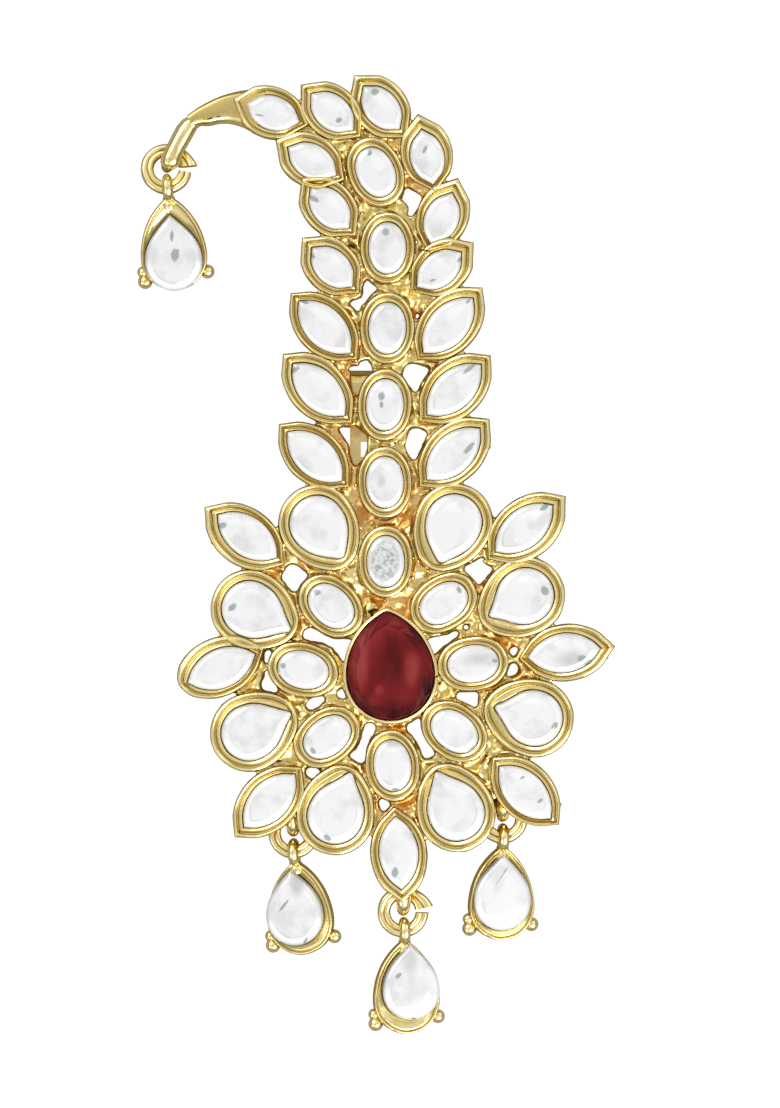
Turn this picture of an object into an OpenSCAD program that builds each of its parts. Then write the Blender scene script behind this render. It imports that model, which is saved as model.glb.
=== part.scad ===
// Turban ornament: a plume-shaped stem and a flower of flat white stones in cast cups,
// a red pear stone at the flower's middle, four pear drops on jump rings, and a sheet clip behind.
// It lies on its back: X is the width, Y runs up the stem, Z points out of the front.

/* [Stones] */
// Length of a large leaf stone, tip to tip
leaf_l = 9.0; // [8.7:0.1:9.2]
// Width of a large leaf stone
leaf_w = 4.8; // [4.5:0.1:5.0]
// Length of a small leaf stone near the crest
small_leaf_l = 6.9; // [6.6:0.1:7.1]
// Width of a small leaf stone near the crest
small_leaf_w = 4.2; // [4.0:0.1:4.4]
// Length of an oval stone
oval_l = 6.3; // [6.0:0.1:6.6]
// Width of an oval stone
oval_w = 4.6; // [4.3:0.1:4.8]
// Length of a white pear stone of the flower
pear_l = 8.6; // [8.3:0.1:8.9]
// Width of a white pear stone of the flower
pear_w = 6.8; // [6.4:0.1:7.0]
// Length of the red pear stone
red_l = 12.8; // [12.4:0.1:13.0]
// Width of the red pear stone
red_w = 10.2; // [9.8:0.1:10.4]
// Height of a white stone from its seat to its table
stone_h = 1.4; // [1.3:0.1:1.6]

/* [Cast frame] */
// Thickness of the web that joins the cups
web_t = 1.2; // [1.0:0.1:1.4]
// Height of a cup's rim above the frame's back
cup_h = 2.6; // [2.4:0.1:2.9]
// Height of the red stone's rim above the frame's back
red_cup_h = 3.3; // [3.1:0.1:3.6]
// Width of the rim round a leaf stone
leaf_rim = 1.05; // [0.95:0.05:1.15]
// Length of an oval stone's cup
oval_cup_l = 8.7; // [8.5:0.1:8.9]
// Width of an oval stone's cup
oval_cup_w = 6.6; // [6.4:0.1:6.8]
// Width of the rim round the red stone
red_rim = 0.45; // [0.4:0.05:0.6]
// Length of a white pear stone's cup
pear_cup_l = 10.7; // [10.5:0.1:10.9]
// Width of a white pear stone's cup
pear_cup_w = 9.4; // [9.1:0.1:9.6]

/* [Drops] */
// Length of a drop's setting without its eye
drop_l = 11.5; // [11.3:0.1:11.7]
// Width of a drop's setting
drop_w = 8.0; // [7.7:0.1:8.3]
// Length of a drop's stone
drop_stone_l = 9.3; // [9.1:0.1:9.4]
// Width of a drop's stone
drop_stone_w = 7.0; // [6.8:0.1:7.1]
// Radius of a jump ring's wire
ring_wire_r = 0.65; // [0.6:0.01:0.7]
// Radius of a jump ring, to the middle of its wire
ring_r = 2.3; // [2.25:0.01:2.4]

/* [Back clip] */
// Height of the frame's back above the surface it lies on
back_z = 3.0; // [2.9:0.1:3.2]
// Thickness of the clip's sheet
sheet_t = 0.8; // [0.7:0.05:0.9]
// Width of the clip's soldered plate
plate_w = 6.0; // [5.6:0.1:6.0]
// Width of the clip's tongue
tongue_w = 3.2; // [3.0:0.1:3.4]

/* [Hidden] */
$fn = 48;
GOLD = "goldenrod";
WHITE = "whitesmoke";
RED = "firebrick";
gap = 0.05;
clear = 0.1;
girdle_below = 0.5;
table_share = 0.74;
lip_h = 0.4;
lip_inset = 0.25;
table_t = 0.01;
// Radius of an oval's flank, as a share of that of an ellipse
oval_flank = 0.925;
pear_cup_shift = 0.2;
// Half of the angle at a leaf's tip, and the length its sharp point is cut short by
tip_turn = 50;
tip_cut = 0.1;

// Stones of the crest and both sides of the stem, from the top down.
// x, y, turn of the long axis in degrees, 1 for a large stone, how much further out the cup stands,
// the cup's extra rim
LEAVES = [
    [-12.4, 52.9, 161, 0, 0.3, 0],
    [-5.3, 53.0, 139, 0, 0.2, 0],
    [0.6, 53.5, 130, 0, 0.2, 0.1],
    [-7.7, 47.1, 150, 0, 0.3, 0],
    [-5.6, 41.5, 133, 0, 0.2, 0],
    [-5.3, 34.4, 136, 0, 0.25, 0],
    [-6.2, 27.2, 135, 1, 0.15, -0.15],
    [-6.9, 19.7, 135, 1, 0.25, 0],
    [-7.4, 11.7, 138, 1, 0.15, -0.15],
    [6.1, 47.6, 102, 0, 0.5, 0],
    [7.8, 40.2, 68, 0, 0.5, 0],
    [7.5, 34.1, 38, 0, 0.5, 0],
    [8.6, 27.4, 48, 1, 0.3, 0],
    [9.3, 19.7, 43, 1, 0.2, 0],
    [9.2, 12.0, 44, 1, 0.2, 0],
];

// Oval stones down the middle of the stem.
// x, y, turn in degrees
STEM_OVALS = [
    [-0.1, 45.8, 115],
    [1.3, 36.7, 90],
    [1.3, 27.1, 89],
    [1.0, 17.9, 88],
    [1.0, 8.6, 92],
    [1.1, -0.9, 90],
];

// Middle of the flower, and the red stone's place and turn there.
flower_at = [1.5, -13.7];
red_at = [1.6, -13.4];
red_turn = -86;
red_culet_share = 0.35;
red_keel = 1.5;
red_girdle = 0.4;
red_crown = 1.2;
red_table_share = 0.62;

// Rings of stones round the flower's middle.
// bearing in degrees, reach in mm, twist from the radius in degrees, and for a petal
// how much further out and across its cup stands and the cup's extra rim
RING_OVALS = [
    [50, 10.2, -17],
    [3, 10.1, 4],
    [-44, 10.9, 7],
    [-88, 11.7, 5],
    [-132, 11.1, -11],
    [181, 10.3, -15],
    [133, 10.2, 5],
];
PEARS = [
    [66, 18.3, 0],
    [28, 17.7, -3],
    [-19, 17.6, 1],
    [-65, 18.3, 2],
    [-110, 18.0, 0],
    [-155, 17.6, -4],
    [157, 17.3, -2],
    [116, 18.5, 8],
];
PETALS = [
    [46, 23.3, -7, 0.3, -0.15, 0.15],
    [5, 21.1, 2, 0.3, 0, 0],
    [-42.4, 22.1, -3, 0.1, 0.15, -0.1],
    [-87, 22.2, 2, 0.2, 0, 0],
    [-132, 21.4, -2, 0.2, 0, 0],
    [180, 20.1, 23, 0.3, -0.25, 0.1],
    [137, 23.2, 7, 0.3, 0.25, 0.05],
];

// Pierced gaps of the web, which the cups then narrow.
// x, y, length, width, turn in degrees
GAPS = [
    [4.1, 42.6, 3.9, 2.2, 94],
    [-1.7, 31.2, 4.3, 2.2, 57],
    [4.5, 21.5, 3.6, 3.2, 0],
    [-2.0, 21.4, 4.0, 2.2, 90],
    [4.6, 13.4, 4.2, 2.6, 69],
    [-2.5, 13.2, 5.0, 3.0, 84],
    [-10.0, -2.8, 3.6, 3.4, 0],
    [12.3, -2.0, 3.6, 3.4, 0],
    [-0.5, -6.9, 1.7, 1.4, 45],
    [-5.6, -10.6, 6.2, 3.0, 157],
    [7.5, -10.7, 4.6, 2.6, 31],
    [10.9, -8.9, 1.2, 1.0, 0],
    [-13.0, -14.5, 5.4, 2.2, 93],
    [16.5, -12.1, 1.5, 1.2, 60],
    [16.3, -13.9, 1.7, 1.3, 120],
    [-7.4, -17.9, 2.6, 1.5, 25],
    [11.0, -17.3, 2.8, 1.9, 165],
    [-4.1, -16.8, 1.3, 1.0, 0],
    [-1.6, -22.7, 5.2, 2.1, 66],
    [5.2, -22.1, 5.2, 2.1, 116],
    [-7.7, -26.3, 1.6, 1.3, 0],
    [0.9, -30.2, 1.3, 1.1, 90],
];

// Drops: x and y of the frame's eye, lean of ring and drop from straight down,
// tilt that lifts the eye's end, roll about the long axis, start of the ring's split, all in degrees,
// then the stone's slide towards the eye and across, and the eye's turn round the ring's middle
DROPS = [
    [-25.5, 48.6, 5, 7, 0, 0, -1.1, -0.05, -27],
    [-10.2, -31.3, 5, 1, -10, 100, 0.1, -0.5, 0],
    [3.1, -40.8, 2, 1, 8, 10, 0.6, 0.5, -5],
    [15.2, -29.5, -1, 1, 10, 80, 0.1, -0.1, 0],
];

eye_wire_r = 0.6;
eye_r = 1.48;
eye_stretch = 0.6;
eye_z = 2.1;
drop_eye_wire_r = 0.4;
drop_eye_r = 1.2;
drop_neck = 0.9;
drop_back = 1.3;
drop_taper = 0.7;
drop_seat = 0.6;
drop_rim = 1.0;
drop_girdle = 0.6;
drop_crown = 1.0;
drop_lip_inset = 0.12;
drop_table_share = 0.7;
ball_r = 0.8;
ball_z = -0.25;
split_angle = 14;
// x, y of the balls on the left and right of a drop's round end
BALLS = [[-3.9, -9.9], [-3.7, -11.0], [3.8, -10.5]];

// Hook arm: the circle of its outer edge, the circle cut out below it, its thickness at the edge
// and inside it, and the bent rod at its end
arm_out_at = [-13.7, 41.5];
arm_out_r = 14.35;
arm_in_at = [-18.2, 46.3];
arm_in_r = 5.4;
arm_edge = 0.3;
arm_edge_t = 1.6;
arm_t = 2.1;
ROD = [[-22.7, 51.6], [-24.6, 49.2], [-25.2, 46.8]];
rod_r = 0.85;
bend_r = 0.9;

// Clip: edges of the soldered plate, the fold above it and the tongue's lower end
plate_x = -0.2;
plate_low = 10.6;
fold_y = 20.6;
tongue_x = 0.9;
shoulder_y = 17.5;
shoulder_rise = 1.2;
tongue_end = -8.7;
slot_at = [-1.4, 12.6];
slot_size = [1.0, 1.8];

LEAF_NAMES = [for (i = [0:len(LEAVES) - 1]) str("leaf_stone_", i + 1)];
PEAR_NAMES = [for (i = [0:len(PEARS) - 1]) str("pear_stone_", i + 1)];
PETAL_NAMES = [for (i = [0:len(PETALS) - 1]) str("petal_stone_", i + 1)];
DROP_NAMES = ["hook_drop", "left_drop", "middle_drop", "right_drop"];

// Radius of the circle that bulges by half of w over the length l
function bulge_r(l, w) = (l * l + w * w) / (4 * w);

// Points of a leaf outline: its two blunt tips and seven along each flank
function leaf_pts(l, w) =
    let (r = bulge_r(l, w), arc_turn = 2 * tip_turn - 2 * atan2(w, l))
    [for (s = [0:15])
        let (
            t = 90 + arc_turn * (s % 8 - 4) / 3,
            p = s % 8 == 0 ? [l / 2 - tip_cut, 0] : [r * cos(t), r * sin(t) + w / 2 - r]
        )
        s < 8 ? p : -p];

// Points of an oval outline
function oval_pts(l, w, n) = [for (s = [0:n - 1]) [l / 2 * cos(360 * s / n), w / 2 * sin(360 * s / n)]];

// Points of a pear outline with its tip at the low end of x, half of its length either side of 0
function pear_pts(l, w) =
    let (b = w / 2, x0 = l / 2 - b, xt = l - b, r = bulge_r(2 * xt, w), a = atan2(r - b, -xt))
    concat(
        [for (s = [-4:4]) [x0 + b * cos(22.5 * s), b * sin(22.5 * s)]],
        [for (s = [1:4]) let (t = 90 + (a - 90) * s / 4) [x0 + r * cos(t), r * sin(t) - r + b]],
        [for (s = [3:-1:1]) let (t = 90 + (a - 90) * s / 4) [x0 + r * cos(t), r - b - r * sin(t)]]
    );

// Leaf outline grown by g: two arcs whose ends are cut to straight, slightly blunt tips
module leaf_flat(l, w, g) {
    tip = l / 2 + g / sin(tip_turn);
    r = bulge_r(2 * tip, w + 2 * g);
    rise = r - w / 2 - g;
    blunt = tip_cut * tan(tip_turn);
    corner = [[tip - tip_cut, -blunt], [tip - tip_cut, blunt], [0, tip * tan(tip_turn)]];
    intersection() {
        translate([0, -rise]) circle(r);
        translate([0, rise]) circle(r);
        polygon(concat(corner, -corner));
    }
}

// Oval outline of four arcs, grown by g
module oval_flat(l, w, g) {
    a = l / 2 + g;
    b = w / 2 + g;
    r = oval_flank * a * a / b;
    intersection() {
        translate([0, b - r]) circle(r);
        translate([0, r - b]) circle(r);
        union() {
            square([2 * (a - b), 4 * b], center = true);
            for (x = [b - a, a - b]) translate([x, 0]) circle(b);
        }
    }
}

// Pear outline of three arcs with its tip at the low end of x, grown by g
module pear_flat(l, w, g) {
    b = w / 2;
    x0 = l / 2 - b;
    r = bulge_r(2 * (l - b), w);
    intersection() {
        translate([x0, 0]) circle(b + g);
        translate([x0, -l]) square([l, 2 * l]);
    }
    intersection() {
        translate([x0, b - r]) circle(r + g);
        translate([x0, r - b]) circle(r + g);
        translate([x0 - 2 * l, -l]) square([2 * l, 2 * l]);
    }
}

module at_leaf(p) translate([p[0], p[1]]) rotate(p[2]) children();
module at_ring(p) translate(flower_at) rotate(p[0]) translate([p[1], 0]) rotate(p[2]) children();

function leaf_size(p) = p[3] == 1 ? [leaf_l, leaf_w] : [small_leaf_l, small_leaf_w];

// Outer walls of all the white stones' cups, in outline, shrunk by inset
module cup_walls(inset) {
    for (p = LEAVES) at_leaf(p) translate([p[4], 0])
        leaf_flat(leaf_size(p)[0], leaf_size(p)[1], leaf_rim + p[5] - inset);
    for (p = PETALS) at_ring(p) translate([p[3], p[4]])
        leaf_flat(leaf_l, leaf_w, leaf_rim + p[5] - inset);
    for (p = STEM_OVALS) at_leaf(p) oval_flat(oval_cup_l, oval_cup_w, -inset);
    for (p = RING_OVALS) at_ring(p) oval_flat(oval_cup_l, oval_cup_w, -inset);
    for (p = PEARS) at_ring(p) translate([pear_cup_shift, 0]) pear_flat(pear_cup_l, pear_cup_w, -inset);
}

// Pockets of the white stones
module leaf_pocket(p) at_leaf(p) leaf_flat(leaf_size(p)[0], leaf_size(p)[1], clear);
module pockets() {
    for (p = LEAVES) leaf_pocket(p);
    for (p = PETALS) at_ring(p) leaf_flat(leaf_l, leaf_w, clear);
    for (p = STEM_OVALS) at_leaf(p) oval_flat(oval_l, oval_w, clear);
    for (p = RING_OVALS) at_ring(p) oval_flat(oval_l, oval_w, clear);
    for (p = PEARS) at_ring(p) pear_flat(pear_l, pear_w, clear);
}
module red_flat(g) translate(red_at) rotate(red_turn) pear_flat(red_l, red_w, g);

// Sheet of metal between the cups, before its gaps are cut
module web_flat() {
    left = [for (i = [3:8]) [LEAVES[i][0], LEAVES[i][1]]];
    right = [for (i = [14:-1:9]) [LEAVES[i][0], LEAVES[i][1]]];
    crest = [for (i = [2:-1:0]) [LEAVES[i][0], LEAVES[i][1]]];
    polygon(concat(left, [flower_at], right, crest));
    polygon([for (i = [0:14])
        let (p = i % 2 == 0 ? PEARS[i / 2] : PETALS[(i - 1) / 2])
        flower_at + p[1] * [cos(p[0]), sin(p[0])]]);
}

// Outline of the hook arm from the crest to its rod
module arm_flat(inset) {
    intersection() {
        difference() {
            translate(arm_out_at) circle(arm_out_r - inset);
            translate(arm_in_at) circle(arm_in_r + inset);
        }
        polygon([[-14.6, 60], [-26.5, 60], [-20, 47], arm_in_at, [-16.4, 51.5], [-14.6, 50.4]]);
    }
}

// Eye of round wire in the plane of Y and Z, drawn out downward by stretch
module eye(r, wire_r, stretch) rotate([0, 90, 0]) {
    rotate_extrude(angle = 180) translate([r, 0]) circle(wire_r);
    translate([0, -stretch, 0]) rotate(180) rotate_extrude(angle = 180) translate([r, 0]) circle(wire_r);
    for (x = [-r, r]) translate([x, 0, 0]) rotate([90, 0, 0]) cylinder(h = stretch, r = wire_r);
}

module frame() color(GOLD) {
    translate([0, 0, back_z]) {
        linear_extrude(web_t) {
            difference() {
                web_flat();
                for (p = GAPS) at_leaf([p[0], p[1], p[4]]) polygon(oval_pts(p[2], p[3], 12));
            }
            cup_walls(0);
        }
        translate([0, 0, web_t]) linear_extrude(cup_h - web_t - lip_h) difference() {
            cup_walls(0);
            pockets();
            red_flat(clear);
        }
        translate([0, 0, cup_h - lip_h]) linear_extrude(lip_h) difference() {
            cup_walls(lip_inset);
            pockets();
            red_flat(clear);
        }
        linear_extrude(web_t) red_flat(red_rim);
        translate([0, 0, web_t]) linear_extrude(red_cup_h - web_t) difference() {
            red_flat(red_rim);
            red_flat(clear);
        }
        difference() {
            union() {
                linear_extrude(arm_edge_t) arm_flat(0);
                linear_extrude(arm_t) arm_flat(arm_edge);
            }
            translate([0, 0, web_t]) linear_extrude(arm_t) leaf_pocket(LEAVES[0]);
        }
    }
    arm_rod();
    for (d = DROPS) translate([d[0], d[1], eye_z]) rotate(d[2]) translate([0, -ring_r]) rotate(d[8])
        translate([0, ring_r]) eye(eye_r, eye_wire_r, eye_stretch);
}

// Bent round rod at the end of the hook arm, with slightly fuller bends and end
module arm_rod() {
    for (i = [0:len(ROD) - 2]) {
        run = ROD[i + 1] - ROD[i];
        translate([ROD[i][0], ROD[i][1], back_z + bend_r]) rotate(atan2(run[1], run[0])) rotate([0, 90, 0])
            cylinder(h = norm(run), r = rod_r);
    }
    for (p = ROD) translate([p[0], p[1], back_z + bend_r]) sphere(bend_r);
}

// Flat-topped stone: an upright girdle, and a crown that slopes to the table
module cut_stone(pts, girdle, crown, table) hull() {
    linear_extrude(girdle) polygon(pts);
    translate([0, 0, girdle + crown - table_t]) linear_extrude(table_t) scale(table) polygon(pts);
}
module seated() translate([0, 0, back_z + web_t + gap]) children();
girdle_h = cup_h - web_t - girdle_below;
crown_h = stone_h - girdle_h;
module white_stone(pts) cut_stone(pts, girdle_h, crown_h, table_share);

module leaf_stone(i) color(WHITE) seated() at_leaf(LEAVES[i])
    white_stone(leaf_pts(leaf_size(LEAVES[i])[0], leaf_size(LEAVES[i])[1]));
module petal_stone(i) color(WHITE) seated() at_ring(PETALS[i]) white_stone(leaf_pts(leaf_l, leaf_w));
module pear_stone(i) color(WHITE) seated() at_ring(PEARS[i]) white_stone(pear_pts(pear_l, pear_w));
module stem_ovals() color(WHITE) seated() for (p = STEM_OVALS) at_leaf(p) white_stone(oval_pts(oval_l, oval_w, 16));
module flower_ovals() color(WHITE) seated() for (p = RING_OVALS) at_ring(p) white_stone(oval_pts(oval_l, oval_w, 16));

// Red stone with a keel below its girdle, a sloped crown and a table
module red_stone() color(RED) seated() translate(red_at) rotate(red_turn) {
    pts = pear_pts(red_l, red_w);
    hull() {
        linear_extrude(table_t) scale(red_culet_share) polygon(pts);
        translate([0, 0, red_keel]) cut_stone(pts, red_girdle, red_crown, red_table_share);
    }
}

// Height of a lying drop's eye: its back edge, its round end and the rolled side touch the surface
drop_reach = drop_neck + drop_l;
function lift(d) =
    drop_back * cos(d[3]) * cos(d[4]) + drop_reach * sin(d[3]) + (drop_w / 2 - drop_taper) * abs(sin(d[4]));
function drop_z(d) = max(lift(d), drop_eye_r + drop_eye_wire_r + gap);
function ring_slope(d) = asin((eye_z - drop_z(d)) / (2 * ring_r));

module at_ring_eye(d) translate([d[0], d[1], eye_z]) rotate([ring_slope(d), 0, d[2]]) children();
module at_drop(d) {
    run = 2 * ring_r * cos(ring_slope(d));
    translate([d[0] + run * sin(d[2]), d[1] - run * cos(d[2]), drop_z(d)])
        rotate([d[3], 0, d[2]]) rotate([0, d[4], 0]) children();
}

module drop_ring(d) color(GOLD) at_ring_eye(d) translate([0, -ring_r, 0]) rotate(d[5])
    rotate_extrude(angle = 360 - split_angle) translate([ring_r, 0]) circle(ring_wire_r);

module drop_flat(g) translate([0, drop_l / 2 - drop_reach]) rotate(-90) pear_flat(drop_l, drop_w, g);
module at_drop_stone(d) translate([d[7], drop_l / 2 - drop_reach + d[6]]) rotate(-90) children();

module drop_setting(d) color(GOLD) at_drop(d) {
    translate([0, 0, -drop_back]) linear_extrude(drop_back) drop_flat(-drop_taper);
    translate([0, 0, drop_taper - drop_back]) linear_extrude(drop_back + drop_seat - drop_taper) drop_flat(0);
    translate([0, 0, drop_seat]) linear_extrude(drop_rim - drop_seat) difference() {
        drop_flat(-drop_lip_inset);
        at_drop_stone(d) pear_flat(drop_stone_l, drop_stone_w, clear);
    }
    eye(drop_eye_r, drop_eye_wire_r, 0);
    for (b = BALLS) translate([b[0], b[1], ball_z]) sphere(ball_r);
}

module drop_stone(d) color(WHITE) at_drop(d) translate([0, 0, drop_seat + gap]) at_drop_stone(d)
    cut_stone(pear_pts(drop_stone_l, drop_stone_w), drop_girdle, drop_crown, drop_table_share);

// Clip of one folded sheet: plate, fold and tongue
module back_clip() color(GOLD) {
    inner = back_z / 2 - sheet_t;
    translate([0, 0, back_z - sheet_t]) linear_extrude(sheet_t) difference() {
        translate([plate_x - plate_w / 2, plate_low]) square([plate_w, fold_y - plate_low]);
        translate(slot_at - slot_size / 2) square(slot_size);
    }
    translate([plate_x - plate_w / 2, fold_y, back_z / 2]) rotate([0, 90, 0])
        rotate_extrude(angle = 180) translate([inner, 0]) square([sheet_t, plate_w]);
    linear_extrude(sheet_t) {
        polygon([
            [plate_x - plate_w / 2, fold_y], [plate_x + plate_w / 2, fold_y],
            [plate_x + plate_w / 2, shoulder_y + shoulder_rise], [tongue_x + tongue_w / 2, shoulder_y],
            [tongue_x + tongue_w / 2, tongue_end], [tongue_x - tongue_w / 2, tongue_end],
            [tongue_x - tongue_w / 2, shoulder_y], [plate_x - plate_w / 2, shoulder_y + shoulder_rise],
        ]);
        translate([tongue_x, tongue_end]) circle(tongue_w / 2);
    }
}

frame();
back_clip();
red_stone();
stem_ovals();
flower_ovals();
for (i = [0:len(LEAVES) - 1]) leaf_stone(i);
for (i = [0:len(PEARS) - 1]) pear_stone(i);
for (i = [0:len(PETALS) - 1]) petal_stone(i);
for (i = [0:3]) drop_ring(DROPS[i]);
for (i = [0:3]) drop_setting(DROPS[i]);
for (i = [0:3]) drop_stone(DROPS[i]);
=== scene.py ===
"""Turban ornament: flat white stones in cast gilt cups, a red pear stone, four drops and a sheet clip.

Sizes in the settings are metres. The making itself works in millimetres, and made() turns them into metres.
"""

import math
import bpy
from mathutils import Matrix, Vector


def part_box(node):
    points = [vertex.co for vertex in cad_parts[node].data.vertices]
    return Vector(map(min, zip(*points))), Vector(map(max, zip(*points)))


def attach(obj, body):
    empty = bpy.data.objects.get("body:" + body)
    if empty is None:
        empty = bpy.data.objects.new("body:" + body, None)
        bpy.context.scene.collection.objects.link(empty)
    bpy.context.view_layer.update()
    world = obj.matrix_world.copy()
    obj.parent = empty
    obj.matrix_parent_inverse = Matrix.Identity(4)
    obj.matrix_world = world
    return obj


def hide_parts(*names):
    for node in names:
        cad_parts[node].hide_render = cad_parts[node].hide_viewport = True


bl_info = {
    "name": "Turban ornament",
    "version": (1, 0, 0),
    "blender": (4, 5, 0),
    "location": "View3D > Sidebar > Ornament",
    "description": "Dresses the packed turban ornament with cast gilt cups, stones, rings and drops",
    "category": "Object",
}

import bmesh
import bpy
import numpy as np
from mathutils import Matrix, Vector, noise

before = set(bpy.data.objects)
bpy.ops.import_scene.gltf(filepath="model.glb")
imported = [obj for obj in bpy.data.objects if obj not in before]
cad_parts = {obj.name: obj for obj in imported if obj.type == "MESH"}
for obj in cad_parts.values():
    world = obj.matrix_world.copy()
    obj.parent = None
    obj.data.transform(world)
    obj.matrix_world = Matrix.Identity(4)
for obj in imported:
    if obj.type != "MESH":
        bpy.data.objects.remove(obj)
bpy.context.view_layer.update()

# Without a seed the unevenness of the casting would differ from run to run
noise.seed_set(4)

MM = 0.001

# Half of the angle at a leaf's tip
TIP = math.radians(50)

# Corners round a stone or cup, and along half of it
ROUND = 72
HALF = ROUND // 2

# Clearance of a stone in its pocket, and how much longer a leaf stone is than its solid, in mm
CLEARANCE = 0.05
LEAF_LONGER = 0.2

# How far a stone's foot and its table lie inside its solid, in mm
STONE_GAP = 0.01

# Length in mm under which a leaf stone is one of the crest's small ones
SMALL_LEAF = 8

# Length and width of stones and cups in mm
OVAL = (6.3, 4.6)
OVAL_CUP = (8.7, 6.6)
PEAR = (8.6, 6.8)
PEAR_CUP = (11.4, 9.4)
RED = (12.8, 10.2)
DROP_CUP = (11.5, 8.0)

# How far each leaf cup stands out past its stone, and its extra rim, from the crest down each side, in mm
LEAF_CUPS = [
    (0.3, 0), (0.2, 0), (0.2, 0.1), (0.3, 0), (0.2, 0), (0.25, 0), (0.15, -0.15), (0.25, 0),
    (0.15, -0.15), (0.5, 0), (0.5, 0), (0.5, 0), (0.3, 0), (0.2, 0), (0.2, 0),
]

# The same for the flower's petals, with how far across the cup stands
PETAL_CUPS = [
    (0.3, -0.15, 0.15), (0.3, 0, 0), (-0.1, 0.15, -0.1), (0.2, 0, 0), (0.2, 0, 0), (0.3, -0.25, 0.1),
    (0.3, 0.25, 0.05),
]

# Leaf cup, counted from the crest down and round the flower, whose outer tip is worn blunt
BLUNT_CUP = 20

# How much higher every second leaf cup stands than its neighbours, which it overlaps, in mm
CUP_STEP = 0.13

# Each white pear from the stem round to the right: how much further its tip reaches than its solid's in mm,
# the turn of the stone and the turn of its cup about its round end in degrees
PEARS = [
    (0.35, 5, -3), (0.3, 4, 6), (0.3, 2, 3), (0.9, 0, -4), (0.9, 0, 8), (0.9, 4, 7), (0.9, -3, -1),
    (0.35, 3, 1),
]

# Millimetres of one pixel of the photograph, and the pixel over the frame's middle
PIXEL = 0.12
MIDDLE = (376.5, 554.0)

# Corners of the web's pierced gaps, from the crest down, in pixels of the photograph
GAPS = [
    [(406, 186), (423, 196), (417, 209), (411.5, 218), (406.5, 215), (409, 208), (406, 203),
     (401.5, 199.5)],
    [(365, 276), (373, 285), (379, 288), (371, 294), (366, 301), (361, 307), (358.5, 312.5),
     (352, 306.5), (347, 302), (351, 300.3), (362, 297.5), (363.3, 288)],
    [(420, 310.5), (422.5, 312), (417.5, 320), (414, 320), (416, 314)],
    [(404, 367), (410, 363), (416, 363.5), (430, 368), (426.5, 375), (420.5, 384.5), (417.5, 392),
     (415, 395), (411, 387.5), (406, 383.5), (403.5, 378)],
    [(360, 361.5), (366, 359.5), (370, 361), (371.5, 367), (374, 370.5), (368, 378), (361.5, 386),
     (357.5, 396), (354, 396), (351.5, 386), (350.5, 373), (346, 369.5), (350, 366.7), (359, 366)],
    [(337, 428), (351, 427.5), (356, 425.5), (366, 434), (368, 441), (366, 455), (361, 461),
     (357, 464.5), (353, 464), (350.5, 455), (350, 447), (342, 435)],
    [(410.5, 429), (417, 427.5), (424.5, 430.5), (427.5, 434.5), (422, 446), (419, 453.5), (416, 459.5),
     (411.5, 459), (406.5, 452), (404.7, 445.5), (407, 436.5)],
    [(288, 565.5), (293, 564.3), (298, 566), (309.5, 575.5), (303, 581), (299.3, 586), (297, 592.5),
     (292.5, 591.5), (286.5, 585.5), (281.5, 579), (281, 575.5), (285, 570)],
    [(481, 556.5), (484, 558.5), (485, 564), (493, 566.8), (493.3, 570), (488.5, 574.5), (483, 582),
     (479.5, 586), (476.5, 582.5), (470.5, 576), (464.5, 571.5), (464.5, 566.5), (476, 561)],
    [(306, 629.5), (310, 627.3), (316, 629.5), (324, 635), (333, 639), (341, 640), (351.7, 640),
     (352.5, 645.5), (348.5, 654.5), (345.5, 663.3), (342.5, 661.5), (338, 654.5), (332, 648),
     (324, 643.3), (314, 640.5), (302, 639.5), (303.3, 632.5)],
    [(455.5, 630.5), (459, 632), (459.5, 635), (452, 640.5), (443.5, 646), (437, 652.5), (433.3, 659.5),
     (431.5, 657.5), (428, 651), (424.8, 643.5), (426.7, 639), (435.5, 637), (448, 634.5)],
    [(464, 625), (470, 623.5), (471.5, 627), (466, 631), (462, 629.5)],
    [(265.5, 649.3), (275, 650), (270.7, 659), (269.7, 666.5), (271, 676), (276, 684.5), (278, 689.5),
     (284, 692.2), (276.5, 692.3), (266.5, 691.8), (262, 689.3), (260.5, 684.5), (262, 681),
     (264.6, 677.5), (265, 672), (263.3, 667.5), (264, 662), (264.5, 655.5)],
    [(509, 649), (516, 646.5), (519, 649), (516, 654.5), (513.3, 659), (511, 656)],
    [(510, 664.5), (513, 661.8), (517, 664.5), (519.5, 670.5), (516, 675), (506.5, 677.5), (509, 669)],
    [(308, 700.5), (313.5, 697.2), (322, 696.7), (326.7, 697.7), (324.5, 701.3), (321, 705.5),
     (312.5, 711), (307, 709.3), (305.8, 705.5)],
    [(342.5, 687), (344.5, 693), (346.5, 699), (339, 698.5), (335, 695.5), (338, 690)],
    [(455.5, 692.5), (479.5, 693), (478, 699), (477.2, 705.5), (475.5, 708.7), (469, 705), (463, 701.7),
     (456.5, 699.5)],
    [(365.5, 724), (373, 723.5), (376.7, 728), (375, 732.5), (370, 739), (366.7, 747), (365.5, 755),
     (364.8, 763.5), (360, 763.8), (354, 760.5), (349, 757.5), (350.5, 754), (356.5, 749), (361, 740),
     (363, 731)],
    [(420.5, 717.5), (421, 723.5), (423.5, 732.5), (428, 743.5), (434.5, 751), (435.5, 755.5),
     (429, 758), (424, 760), (422, 755.5), (419.3, 747), (413.5, 737), (406.8, 730), (407.3, 724.5),
     (413.5, 721)],
    [(305, 768.5), (312.5, 767.7), (322, 771), (315.5, 778.7), (311.5, 779.7), (306.5, 775.5)],
    [(378, 799.5), (385, 799.5), (390, 802), (391.5, 805.3), (386, 811), (383.5, 812.6), (380.5, 811.5),
     (379.5, 806)],
]

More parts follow.
